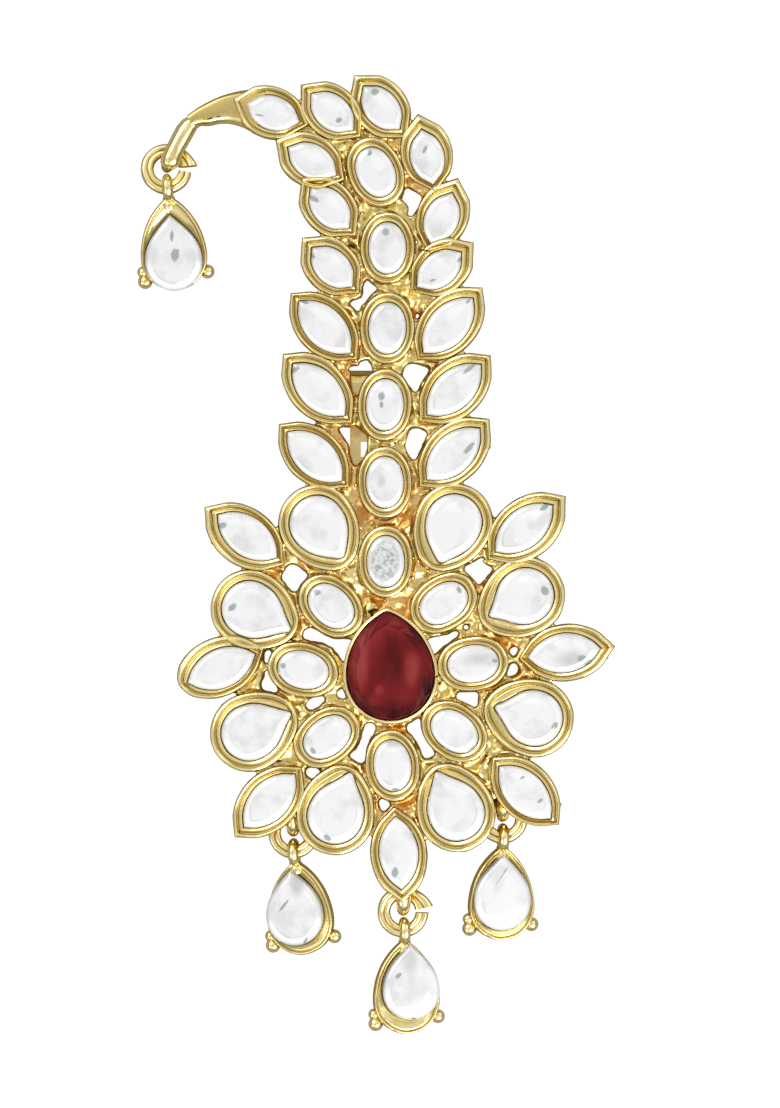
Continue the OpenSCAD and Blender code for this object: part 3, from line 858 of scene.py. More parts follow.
def grain_tree(material):
    """Casting grains scattered over the upward faces of the web, between two heights."""
    tree, given, add = node_tree(
        "Casting grains",
        ("Density", "Float", 220000.0),
        ("Seed", "Int", 4),
        ("Lowest", "Float", 0.0040),
        ("Highest", "Float", 0.0050),
        ("Smallest", "Float", 0.00012),
        ("Largest", "Float", 0.00030),
    )
    up = add("ShaderNodeSeparateXYZ", Vector=add("GeometryNodeInputNormal")).outputs["Z"]
    height = add("ShaderNodeSeparateXYZ", Vector=add("GeometryNodeInputPosition")).outputs["Z"]

    def test(kind, a, b):
        return add("FunctionNodeCompare", {"data_type": "FLOAT", "operation": kind}, A=a, B=b)

    def both(a, b):
        return pair(add("FunctionNodeBooleanMath", {"operation": "AND"}), a, b)

    level = both(test("GREATER_THAN", height, given["Lowest"]), test("LESS_THAN", height, given["Highest"]))
    points = add(
        "GeometryNodeDistributePointsOnFaces",
        Mesh=given["Geometry"],
        Selection=both(level, test("GREATER_THAN", up, 0.6)),
        Density=given["Density"],
        Seed=given["Seed"],
    )
    size = add("FunctionNodeRandomValue", {"data_type": "FLOAT"}, Seed=given["Seed"])
    plug(size.inputs[2], given["Smallest"])
    plug(size.inputs[3], given["Largest"])
    grain = add("GeometryNodeMeshIcoSphere", Radius=1.0, Subdivisions=2)
    grains = add("GeometryNodeInstanceOnPoints", Points=points, Instance=grain, Scale=size.outputs[1])
    return closed_tree(tree, add, add("GeometryNodeSetShadeSmooth", Geometry=grains), material)


# Finishes


def finish_nodes(name):
    """A material, with its shader and a maker of its nodes where it is new."""
    material = bpy.data.materials.get(name)
    if material is not None:
        return material, None, None
    material = bpy.data.materials.new(name)
    material.use_nodes = True
    return material, material.node_tree.nodes["Principled BSDF"], maker(material.node_tree)


def mixed(add, share, first, second):
    """Colour between two others."""
    node = add("ShaderNodeMix", {"data_type": "RGBA"})
    for k, value in ((0, share), (6, first), (7, second)):
        plug(node.inputs[k], value)
    return node.outputs[2]


def mapped(add, value, low, high, to_low=0.0, to_high=1.0):
    """A value carried from one range to another, smoothly and kept within it."""
    node = add("ShaderNodeMapRange", {"interpolation_type": "SMOOTHSTEP", "clamp": True}, Value=value)
    return feed(node, From_Min=low, From_Max=high, To_Min=to_low, To_Max=to_high)


def summed(add, kind, a, b):
    """Arithmetic of two values."""
    return pair(add("ShaderNodeMath", {"operation": kind}), a, b)


def plus(add, a, b):
    return summed(add, "ADD", a, b)


def times(add, a, b):
    return summed(add, "MULTIPLY", a, b)


def noised(add, where, scale, detail, roughness=0.5):
    return add("ShaderNodeTexNoise", Vector=where, Scale=scale, Detail=detail, Roughness=roughness)


def own_value(add, name, output="Fac"):
    """A value that the mesh's corners carry."""
    return add("ShaderNodeAttribute", {"attribute_name": name}).outputs[output]


def away_from(add, where, at, turn, size):
    """Distance from a place, counted in its own sizes."""
    local = add("ShaderNodeMapping", {"vector_type": "TEXTURE"}, Vector=where)
    feed(local, Location=at, Rotation=turn, Scale=size)
    return add("ShaderNodeVectorMath", {"operation": "LENGTH"}, Vector=local).outputs["Value"]


def away_from_pixel(add, where, px, py, length, width, turn=0):
    """The same from a pixel of the photograph, with half sizes in mm and a turn in degrees."""
    x, y = seen_at(px, py)
    size = (length * MM, width * MM, 1)
    return away_from(add, where, (x * MM, y * MM, 0), (0, 0, math.radians(turn)), size)


def ramped(add, value, stops):
    """Colour along a ramp of positions and colours, its two ends first."""
    ramp = add("ShaderNodeValToRGB", Fac=value)
    elements = ramp.color_ramp.elements
    for k, (at, colour) in enumerate(stops):
        stop = elements[k] if k < 2 else elements.new(at)
        stop.position = at
        stop.color = colour
    return ramp


def grey(level):
    return (level, level, level, 1)


def gilt_finish(name, low, high, grain=0.3):
    """Gilded casting: bright above two heights in metres, painted shade in olive and orange-brown below
    them, and inside the cups duller gilding with painted shade.
    """
    material, shader, add = finish_nodes(name)
    if shader is None:
        return material
    metal = bpy.context.scene.ornament_metal
    where = add("ShaderNodeTexCoord").outputs["Object"]
    height = add("ShaderNodeSeparateXYZ", Vector=where).outputs["Z"]
    broad = noised(add, where, 420.0, 3.0, 0.6)
    fine = noised(add, where, 2600.0, 4.0, 0.65)
    patches = noised(add, where, 190.0, 2.0)
    pits = add("ShaderNodeTexVoronoi", Vector=where, Scale=1500.0)
    inner = own_value(add, "inner")
    # Painted shade: below the two heights the gilding turns to the olive and orange-brown of the recesses
    wobble = times(add, summed(add, "SUBTRACT", broad, 0.5), 0.0009)
    deep = mapped(add, plus(add, height, wobble), low, high, 1.0, 0.0)
    fill = mixed(add, mapped(add, patches, 0.5, 0.61), (*metal.olive, 1), (*metal.shade, 1))
    colour = mixed(add, deep, (*metal.gilt, 1), fill)
    # Painted shade inside the cups: the olive of duller gilding on the inner slopes, and the fine line's
    # dark in the grooves and on steep walls
    colour = mixed(add, mapped(add, inner, 0.0, 1.0), colour, (*metal.olive, 1))
    colour = mixed(add, mapped(add, inner, 1.0, 2.0), colour, (*metal.line, 1))
    colour = mixed(add, mapped(add, broad, 0.5, 0.7, 0.0, 0.5), colour, (0.72, 0.48, 0.15, 1))
    ragged = mapped(add, fine, 0.3, 0.7, -0.4, 0.4)
    # Painted shade where the web lies deepest, and painted shadow in the nicks and pits
    for spots, share, near, far, strength, tint in (
        (DEEPEST_SHADE, deep, 0.5, 1.3, 0.95, (0.46, 0.18, 0.028, 1)),
        (PIT_SHADOWS, 1.0, 0.7, 1.1, 0.9, (0.02, 0.012, 0.004, 1)),
    ):
        for px, py, length, width, turn in spots:
            away = away_from_pixel(add, where, px, py, length * PIXEL, width * PIXEL, turn)
            spot = mapped(add, plus(add, away, ragged), near, far, strength, 0.0)
            colour = mixed(add, times(add, spot, share), colour, tint)
    rough = mapped(add, fine, 0.3, 0.75, 0.13, 0.24)
    rough = plus(add, rough, times(add, deep, 0.14))
    rough = plus(add, rough, mapped(add, inner, 0.0, 1.0, 0.0, 0.12))
    relief = plus(add, times(add, fine, 0.5), times(add, pits, 0.45))
    bump = add("ShaderNodeBump", Strength=grain, Distance=0.00004, Height=relief)
    feed(shader, Base_Color=colour, Metallic=1.0, Roughness=rough, Normal=bump)
    feed(shader, Specular_Tint=(0.80, 0.60, 0.25, 1))
    return material


def cast_finish():
    # Painted shade in the casting's recesses, below 4.2 to 5.1 mm
    return gilt_finish("Gilding", 0.0042, 0.0051)


def white_finish():
    """White foil-backed stone: glossy, nearly even, with faint clouds and small lost spots; painted shade
    at its grey edge and in places, and painted highlights and reflection lines on its crown.
    """
    material, shader, add = finish_nodes("White stone")
    if shader is None:
        return material
    stones = bpy.context.scene.ornament_stones
    where = add("ShaderNodeTexCoord").outputs["Object"]
    clouds = noised(add, where, 330.0, 4.0, 0.6)
    crackle = noised(add, where, 2400.0, 4.0, 0.7)
    partly = noised(add, where, 230.0, 1.0)
    edge = own_value(add, "edge")
    cloudy = mapped(add, clouds, 0.45, 0.68, 0.0, 0.8)
    colour = mixed(add, cloudy, (*stones.white, 1), (0.53, 0.54, 0.53, 1))
    # Painted highlight: paler where the edge value falls below nought
    colour = mixed(add, mapped(add, edge, 0.0, -1.0), colour, (0.83, 0.83, 0.835, 1))
    # Painted shade at the stone's grey edge, and painted reflection lines on its crown, broken up by noise
    rim = times(add, mapped(add, edge, 0.6, 1.0), mapped(add, partly, 0.4, 0.6, 0.35, 0.9))
    arcs = times(add, mapped(add, edge, 0.0, 1.0), mapped(add, partly, 0.46, 0.62, 0.06, 0.8))
    colour = mixed(add, summed(add, "MAXIMUM", rim, arcs), colour, (0.36, 0.38, 0.36, 1))
    ragged = summed(add, "SUBTRACT", crackle, 0.5)
    flakes = mapped(add, crackle, 0.47, 0.58, -0.5, 1.0)
    own = own_value(add, "own", "Vector")
    for label in MARK_LABELS:
        at, turn, size = (own_value(add, label + part, "Vector") for part in ("", "_turn", "_size"))
        away = away_from(add, own, at, turn, size)
        if label == "shading":
            spot = mapped(add, away, 0.2, 1.3, 0.42, 0.0)
        else:
            large = add("ShaderNodeSeparateXYZ", Vector=size).outputs["X"]
            spot = mapped(add, plus(add, away, ragged), 0.75, 1.3, 1.0, 0.0)
            spot = times(add, spot, mapped(add, large, 0.0009, 0.0018, 0.85, 0.42))
            flaky = times(add, mapped(add, large, 0.0009, 0.0012), flakes)
            spot = times(add, spot, plus(add, flaky, 1.0))
        # Lost spots, and the shading as painted shade, in the same colour
        colour = mixed(add, spot, colour, (*stones.blemish_and_shade, 1))
    bump = add("ShaderNodeBump", Strength=0.25, Distance=0.00008, Height=clouds)
    feed(shader, Base_Color=colour, Metallic=0.12, Specular_IOR_Level=0.6, Normal=bump)
    feed(shader, Roughness=mapped(add, clouds, 0.35, 0.7, 0.06, 0.16), Coat_Weight=0.6, Coat_Roughness=0.04)
    return material


def red_finish():
    """Red stone: deep and glossy, each facet in its own tone of painted shade, with painted reflections and
    shade in places inside it.
    """
    material, shader, add = finish_nodes("Red stone")
    red = bpy.context.scene.ornament_stones.red
    where = add("ShaderNodeTexCoord").outputs["Object"]
    drawn = add("ShaderNodeMapping", Vector=where, Scale=(1.0, 0.45, 1.0))
    clouds = noised(add, drawn, 300.0, 4.0, 0.6)
    level = plus(add, own_value(add, "tone"), mapped(add, clouds, 0.3, 0.7, 0.26, 0.46))
    for px, py, wide, tall, change in RED_TONES:
        away = away_from_pixel(add, where, px, py, wide, tall)
        level = plus(add, level, mapped(add, away, 0.3, 1.5, change, 0.0))
    dark = (*(c * 0.16 for c in red), 1)
    colour = ramped(add, level, [(0.0, dark), (1.0, (0.26, 0.045, 0.04, 1)), (0.45, (*red, 1))])
    feed(shader, Base_Color=colour, Roughness=0.12, Specular_IOR_Level=0.13)
    return material


# Pieces


def finished(piece, *nodes, slot="gold"):
    """Hands a piece to the frame: it rides on the one body, and stands for the CAD nodes that are named."""
    if nodes:
        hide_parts(*nodes)
    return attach(piece, "root")


def between(stone, shell, share, rim=None):
    """Outline a share of the way from a stone to its cup's edge. A rim keeps one width all round."""
    if rim is None:
        return stone + share * (shell - stone)
    along = np.roll(shell, -1, axis=0) - np.roll(shell, 1, axis=0)
    inward = np.column_stack([-along[:, 1], along[:, 0]]) / np.linalg.norm(along, axis=1)[:, None]
    if ((shell.mean(0) - shell) * inward).sum() < 0:
        inward = -inward
    if share >= RIM_SHARE:
        return shell + inward * rim * (1 - share) / (1 - RIM_SHARE)
    line = shell + inward * rim
    return stone + share / RIM_SHARE * (line - stone)


def cup(stone, shell, place, section, rim=None, rough=0.05, raised=0.0):
    """One cup round a stone's outline, at the stone's place, with its foot at the frame's back."""
    base = np.array([place["at"][0], place["at"][1], back_height()])
    rings, inner = [], []
    for share, height, dull_and_shade in section:
        ring = at_height(between(stone, shell, share, rim), height + raised * min(1.0, height))
        rings.append(uneven(ring @ place["axes"] + base, size=2.2, depth=rough))
        inner += [dull_and_shade] * len(ring)
    return *loft(rings), inner + [0.0, 1.0]


def leaf_cup_sizes():
    """Stone outline, cup outline and place of each leaf cup, of the stem and of the flower's edge."""
    rim = bpy.context.scene.ornament_metal.leaf_rim / MM
    found = [(leaf_place(i), out, 0.0, extra) for i, (out, extra) in enumerate(LEAF_CUPS)]
    found += [(petal_place(i), *row) for i, row in enumerate(PETAL_CUPS)]
    sizes = []
    for place, out, across, extra in found:
        length, width = place["length"] + LEAF_LONGER, place["width"]
        wide = rim + extra
        shell = leaf_outline(length + 2 * wide / math.sin(TIP), width + 2 * wide) + [out, across]
        if len(sizes) == BLUNT_CUP:
            shell = eased(shell, reach=5, times=14)
        sizes.append((leaf_outline(length, width), shell, place))
    return sizes


def oval_cup_sizes():
    """The same for the oval cups."""
    found = places("stem_ovals", (0, 1)) + places("flower_ovals", "out")
    return [(oval_outline(*OVAL), oval_outline(*OVAL_CUP), place) for place in found]


def pear_cup_sizes():
    """The same for the white pear cups."""
    sizes = []
    for i, (longer, turn, cup_turn) in enumerate(PEARS):
        place = pear_place(i)
        shell = eased(egg_outline(*PEAR_CUP), reach=3, times=6) - [(PEAR_CUP[0] - PEAR_CUP[1]) / 2, 0]
        c, d = math.cos(math.radians(cup_turn - turn)), math.sin(math.radians(cup_turn - turn))
        shell = shell @ np.array([[c, d], [-d, c]]) + [(place["length"] - place["width"]) / 2, 0]
        sizes.append((pear_stone_outline(i), shell, place))
    return sizes


def pear_stone_outline(i):
    """Visible outline of a white pear stone; the top two are fuller."""
    tip, waist = (42, 0.4) if i in (0, 7) else (28, 0.5)
    return eased(pear_outline(PEAR[0] + PEARS[i][0], PEAR[1], tip, waist), reach=2, times=3)


class ORNAMENT_OT_cast_body(bpy.types.Operator):
    """Make the pierced web and the cups' feet as one softened casting with its grains, and the hook arm"""

    bl_idname = "ornament.cast_body"
    bl_label = "Cast body"

    def execute(self, context):
        z0 = back_height()
        web = context.scene.ornament_metal.web_height / MM
        parts = [self.web(z0, web)]
        foot = FOOT_SECTION + [(0.4, web - FOOT_DEPTH, 0)]
        for stone, shell, place in leaf_cup_sizes() + oval_cup_sizes() + pear_cup_sizes():
            parts.append(cup(stone, shell, place, foot, rough=0.03)[:2])
        stone, shell = egg_outline(*RED, 0.05), egg_outline(*RED, 0.4)
        foot = RED_FOOT_SECTION + [(0.2, web - FOOT_DEPTH, 0)]
        parts.append(cup(stone, shell, red_place(), foot, rough=0.0)[:2])
        body = made("cast_body", *gathered(parts), cast_finish())
        modify(body, "Fused", "REMESH", mode="VOXEL", voxel_size=VOXEL)
        modify(body, "Softened", "SMOOTH", factor=0.5, iterations=2)
        mesh = evaluated(body)
        co = self.filled(numbers_of(mesh.vertices, "co", 3) / MM, mesh, z0 + web)
        for size, depth in CASTING_LUMPS:
            co = uneven(co, size, depth)
        mesh.vertices.foreach_set("co", (co * MM).ravel())
        mesh.update()
        body.data = mesh
        triangles = 2 * len(mesh.polygons)
        modify(body, "Thinned", "DECIMATE", ratio=MOST_TRIANGLES / triangles)
        body.data = evaluated(body)
        body.data.shade_smooth()
        finished(body, "frame")
        bare = linked("bare web", body.data.copy())
        finished(grown("casting_grains", bare, grain_tree(cast_finish()), {"Seed": 4}))
        self.arm(z0)
        return {"FINISHED"}

    def web(self, z0, thick):
        """Web between the cups with its gaps, as one pierced sheet of small square cells."""
        column = [leaf_place(i)["at"][:2] for i in (3, 4, 5, 6, 7, 8)] + [FLOWER]
        column += [leaf_place(i)["at"][:2] for i in (14, 13, 12, 11, 10, 9, 2, 1, 0)]
        star = [solid_pear_place(0)["at"][:2]]
        for i in range(7):
            star += [petal_place(i)["at"][:2], solid_pear_place(i + 1)["at"][:2]]
        xs, ys = np.arange(*WEB_X, CELL), np.arange(*WEB_Y, CELL)
        gx, gy = np.meshgrid(xs + CELL / 2, ys + CELL / 2, indexing="ij")
        solid = inside(column, gx, gy) | inside(star, gx, gy)
        for corners in GAPS:
            solid &= ~inside([seen_at(*pixel) for pixel in corners], gx, gy)
        return cells(solid, xs, ys, CELL, z0, z0 + thick)

    def filled(self, co, mesh, level):
        """Raises the web's upper face into the uneven fill that runs between the cups."""
        up = numbers_of(mesh.vertex_normals, "vector", 3)[:, 2]
        broad, fine = FILL_LUMPS
        for i in np.nonzero((np.abs(co[:, 2] - level) < 0.3) & (up > 0.5))[0]:
            lump = noise.noise(Vector(co[i]) / broad) + 0.25 * noise.noise(Vector(co[i]) / fine)
            co[i, 2] += max(0.0, FILL + FILL_CHANGE * lump) * (up[i] - 0.5) * 2
        return co

    def arm(self, z0):
        """Flat hook arm, a little crowned, that narrows to its rod."""
        narrows = 0.72
        rings, inner = [], []
        for t in np.linspace(0, 1, 60):
            outer = arc_point(ARM_OUTER, t)
            late = max(0.0, (t - narrows) / (1 - narrows))
            across = (arc_point(ARM_INNER, t) - outer) * (1 - 0.3 * late * late * (3 - 2 * late))
            ring = [[*(outer + share * across), z0 + z] for share, z, _ in ARM_SECTION]
            rings.append(uneven(np.array(ring), size=2.4, depth=0.06))
            inner += [dull_and_shade for _, _, dull_and_shade in ARM_SECTION]
        satin = gilt_finish("Satin gilding", 0.0, 0.001, grain=0.06)
        finished(lofted("hook_arm", rings, inner + [1.0, 1.0], satin, 50))


def arc_point(arc, t):
    """Point a share t along an arc."""
    x, y, r, first, last = arc
    a = math.radians(first + (last - first) * t)
    return np.array([x + r * math.cos(a), y + r * math.sin(a)])


def inside(corners, gx, gy):
    """Which cells lie within a polygon."""
    found = np.zeros(gx.shape, bool)
    n = len(corners)
    for i in range(n):
        (x1, y1), (x2, y2) = corners[i], corners[(i + 1) % n]
        crosses = (y1 > gy) != (y2 > gy)
        at = (x2 - x1) * (gy - y1) / ((y2 - y1) or 1e-9) + x1
        found ^= crosses & (gx < at)
    return found


def cells(solid, xs, ys, cell, low, high):
    """Corners and faces of a sheet made of the solid cells, with its sides."""
    nx, ny = solid.shape
    index = {}
    verts, faces = [], []

    def corner(i, j, top):
        key = (i, j, top)
        if key not in index:
            index[key] = len(verts)
            verts.append((xs[0] + i * cell, ys[0] + j * cell, high if top else low))
        return index[key]

    for i, j in zip(*np.nonzero(solid)):
        a, b, c, d = (i, j), (i + 1, j), (i + 1, j + 1), (i, j + 1)
        faces.append([corner(*p, True) for p in (a, b, c, d)])
        faces.append([corner(*p, False) for p in (d, c, b, a)])
        for (di, dj), (p, q) in (((0, -1), (a, b)), ((1, 0), (b, c)), ((0, 1), (c, d)), ((-1, 0), (d, a))):
            k, m = i + di, j + dj
            if not (0 <= k < nx and 0 <= m < ny and solid[k, m]):
                faces.append([corner(*p, False), corner(*q, False), corner(*q, True), corner(*p, True)])
    return np.array(verts), [tuple(f) for f in faces]


class ORNAMENT_OT_cups(bpy.types.Operator):
    """Make the cups' rounded rims and inner slopes"""

    bl_idname = "ornament.cups"
    bl_label = "Cups"

    def execute(self, context):
        gilt = cast_finish()
        for name, sizes, rim, step in (
            ("leaf_cups", leaf_cup_sizes(), None, CUP_STEP),
            ("oval_cups", oval_cup_sizes(), None, 0.0),
            ("pear_cups", pear_cup_sizes(), RIM_WIDTH, 0.0),
        ):
            parts, inner = [], []
            for i, (stone, shell, place) in enumerate(sizes):
                verts, faces, dull_and_shade = cup(stone, shell, place, CUP_SECTION, rim, raised=step * (i % 2))
                parts.append((verts, faces))
                inner += dull_and_shade
            finished(made(name, *gathered(parts), gilt, sharp=42, values={"inner": inner}))
        stone, shell = egg_outline(*RED, 0.0), egg_outline(*RED, 0.6)
        verts, faces, inner = cup(stone, shell, red_place(), RED_SECTION, rough=0.04)
        finished(made("red_cup", verts, faces, gilt, sharp=60, values={"inner": inner}))
        return {"FINISHED"}


def stone_mesh(outline, tall, middle, material):
    """One stone about its own middle with its foot at nought, and where each corner lies on it."""
    rings, low, high = [], [], []
    for share, height, grey_low, grey_high in STONE_SECTION:
        rings.append(at_height(middle + share * (outline - middle), height * tall))
        low += [grey_low] * len(outline)
        high += [grey_high] * len(outline)
    verts, faces = loft(rings)
    verts[-1] = (*middle, tall)
    values = {"own": at_height(verts[:, :2], 0.0) * MM, "low": low + [1.0, 0.0], "high": high + [1.0, 0.0]}
    return made("stone", verts, faces, material, sharp=50, values=values)


def shaded(piece, sites):
    """Grades the painted shade, highlight and reflection lines at each stone's edge from the drops' side to
    the crest's side.
    """
    mesh = piece.data
    each = numbers_of(mesh.vertices, "co", 3).reshape(len(sites), -1, 3) / MM
    away = each[:, :, :2] - np.array([p["at"][:2] for p in sites])[:, None]
    upward = (away[:, :, 1] / (np.linalg.norm(away, axis=2) + 0.01)).ravel()
    # From nought on the side of the drops to one on the side of the crest
    turned = np.clip((upward + 0.75) / 1.1, 0, 1)
    low, high = (numbers_of(mesh.attributes[label].data, "value") for label in ("low", "high"))
    store(mesh, {"edge": low * (1 - turned) + high * turned})
    for label in ("low", "high"):
        mesh.attributes.remove(mesh.attributes[label])


def spots_on(place, spots, count):
    """The first spots that lie on a stone, in its own millimetres; missing ones lie far off."""
    found = []
    bearing = math.atan2(place["axes"][0][1], place["axes"][0][0])
    for x, y, length, width, turn in spots:
        away = np.array([x - place["at"][0], y - place["at"][1], 0]) @ place["axes"].T
        if abs(away[0]) < place["length"] / 2 and abs(away[1]) < place["width"] / 2:
            found.append((away[0], away[1], length, width, math.radians(turn) - bearing))
    return (found + [(9, 9, 0.1, 0.1, 0)] * count)[:count]


def stones_at(name, nodes, outline, middle, sites):
    """A group of like stones of one cut, each at its own place, as tall as the first one's solid."""
    white = white_finish()
    stone = stone_mesh(outline, sites[0]["tall"] - 2 * STONE_GAP, np.array(middle), white)
    values = {"turn": [], "size": [(1, 1, 1)] * len(sites)}
    for place in sites:
        values["turn"].append(Matrix(place["axes"].T.tolist()).to_euler()[:])
        spots = spots_on(place, MARKS, 2) + spots_on(place, SHADINGS, 1)
        for label, (x, y, length, width, turn) in zip(MARK_LABELS, spots):
            values.setdefault(label, []).append((x * MM, y * MM, 0))
            values.setdefault(f"{label}_size", []).append((length * MM, width * MM, 1))
            values.setdefault(f"{label}_turn", []).append((0, 0, turn))
    base = points_object([p["at"] + p["axes"][2] * STONE_GAP for p in sites], values)
    piece = grown(name, base, stones_tree(white), {"Stone": stone})
    bpy.data.objects.remove(stone)
    shaded(piece, sites)
    finished(piece, *nodes, slot="white_stone")


class ORNAMENT_OT_white_stones(bpy.types.Operator):
    """Set the white leaf, oval and pear stones"""

    bl_idname = "ornament.white_stones"
    bl_label = "White stones"

    def execute(self, context):
        leaves = [leaf_place(i) for i in range(len(LEAF_CUPS))]
        small = [i for i, place in enumerate(leaves) if place["length"] < SMALL_LEAF]
        large = [i for i in range(len(leaves)) if i not in small]
        petals = [petal_place(i) for i in range(len(PETAL_CUPS))]
        for name, kind, chosen, found in (
            ("small_leaf_stones", "leaf", small, leaves),
            ("large_leaf_stones", "leaf", large, leaves),
            ("petal_stones", "petal", range(len(petals)), petals),
        ):
            sites = [found[i] for i in chosen]
            outline = leaf_outline(sites[0]["length"] + LEAF_LONGER, sites[0]["width"])
            stones_at(name, [f"{kind}_stone_{i + 1}" for i in chosen], outline, (0, 0), sites)
        for part, way in (("stem", (0, 1)), ("flower", "out")):
            node = f"{part}_ovals"
            stones_at(f"{part}_oval_stones", [node], oval_outline(*OVAL), (0, 0), places(node, way))
        for name, chosen in (("full", [0, 7]), ("short", [1, 2]), ("long", [3, 4, 5, 6])):
            nodes = [f"pear_stone_{i + 1}" for i in chosen]
            sites = [pear_place(i) for i in chosen]
            stones_at(f"{name}_pear_stones", nodes, pear_stone_outline(chosen[0]), (0.7, 0), sites)
        return {"FINISHED"}


class ORNAMENT_OT_red_stone(bpy.types.Operator):
    """Cut and set the red pear stone"""

    bl_idname = "ornament.red_stone"
    bl_label = "Red stone"

    def execute(self, context):
        place = red_place()
        outline = egg_outline(RED[0] - CLEARANCE, RED[1] - CLEARANCE)
        facets = 18
        pick = outline[:: ROUND // facets]
        half_step = np.roll(outline, -ROUND // facets // 2, axis=0)[:: ROUND // facets]
        middle = np.array([0.6, 0.0])
        rings = []
        # Corners, share of the outline and height as a share of the whole, from the foot to the table
        for corners, share, height in (
            (pick, 0.4, 0.05),
            (pick, 1.0, 0.45),
            (pick, 1.02, 0.66),
            (half_step, 0.95, 0.8),
            (pick, 0.8, 1.0),
        ):
            rings.append(at_height(middle + share * (corners - middle), height * place["tall"]))
        verts, faces = loft(rings)
        red = made("red_stone_cut", placed(verts, place), faces, red_finish(), smooth=False)
        # Painted shade: each facet round the table is darker than it, by an amount of its own
        tone = red.data.attributes.new("tone", "FLOAT", "FACE")
        for face in red.data.polygons:
            if face.normal.z < 0.99:
                wave = math.sin(face.center.x * 2100 + face.center.y * 1300)
                tone.data[face.index].value = 0.08 * wave - 0.1
        finished(red, "red_stone", slot="red_stone")
        return {"FINISHED"}


# Drops


def drop_outline(length, width):
    """Visible outline of a drop's stone, a little pointed."""
    return pear_outline(length, width, tip=44, waist=0.36)


def drop_place(name):
    """Place of a drop's eye, with X across and Y along towards it, and the stone's own place."""
    points, up = lumps(f"{name}_stone")[0]
    stone = stone_place(points, up)
    toward = -stone["axes"][0]
    axes = np.array([np.cross(toward, up), toward, up])
    local = np.vstack([p for p, _ in lumps(f"{name}_setting")]) @ axes.T
    top = local[:, 1].max()
    eye = local[local[:, 1] > top - 0.3]
    origin = np.array([eye[:, 0].mean(), top - DROP_EYE_TOP, (eye[:, 2].min() + eye[:, 2].max()) / 2])
    return {"axes": axes, "at": origin @ axes}, stone


class ORNAMENT_OT_drops(bpy.types.Operator):
    """Make the four drops: setting, eye, balls and stone"""

    bl_idname = "ornament.drops"
    bl_label = "Drops"

    def execute(self, context):
        for name in DROPS:
            place, stone = drop_place(name)
            self.setting(name, place, stone, gilt_finish("Gilding of the drops", -0.001, 0.0002))
            outline = drop_outline(stone["length"], stone["width"])
            stones_at(f"{name}_cut", [f"{name}_stone"], outline, (0.9, 0), [stone])
        return {"FINISHED"}

    def setting(self, name, place, stone, gilt):
        """Pear setting about its eye, its inner wall sloping down to the stone."""
        offset = (stone["at"] - place["at"]) @ place["axes"].T
        shell = egg_outline(*DROP_CUP)[:, ::-1] * -1 + [0, DROP_CUP[0] / 2 - DROP_REACH]
        seat = drop_outline(stone["length"] + 0.06, stone["width"] + 0.06)[:, ::-1] * -1 + offset[:2]
        rings, inner = [], []
        for share, height, dull_and_shade in DROP_SECTION:
            below = height < -0.5
            flat = between(seat, shell, RIM_SHARE if below else share, 1 - share if below else DROP_RIM)
            rings.append(placed(uneven(at_height(flat, height), size=2.0, depth=0.05), place))
            inner += [dull_and_shade] * len(flat)
        body = lofted(f"{name}_cup", rings, inner + [0.0, 1.0], gilt, 50)
        loop, thick = [], []
        for a in np.linspace(0, 2 * math.pi, 32, endpoint=False):
            upper = max(0.0, math.sin(a))
            r = DROP_EYE + 0.22 * upper
            loop.append((0, r * math.cos(a), r * math.sin(a)))
            thick.append(1 + 0.55 * upper)
        loop = np.column_stack([placed(np.array(loop), place), thick])
        eye = wires("eye", gilt, [loop], closed=True, radius=DROP_WIRE, sides=16)
        neck = np.array(NECK)
        neck[:, :3] = placed(neck[:, :3], place)
        neck = wires("neck", gilt, [neck], closed=False, radius=1, sides=20)
        balls = np.array(BALLS)
        base = points_object(placed(balls[:, :3], place), {"size": balls[:, 3] * MM})
        balls = grown("balls", base, balls_tree(gilt), {"Rings": 12})
        finished(joined(f"{name}_gilt", [body, eye, neck, balls], 50), f"{name}_setting")


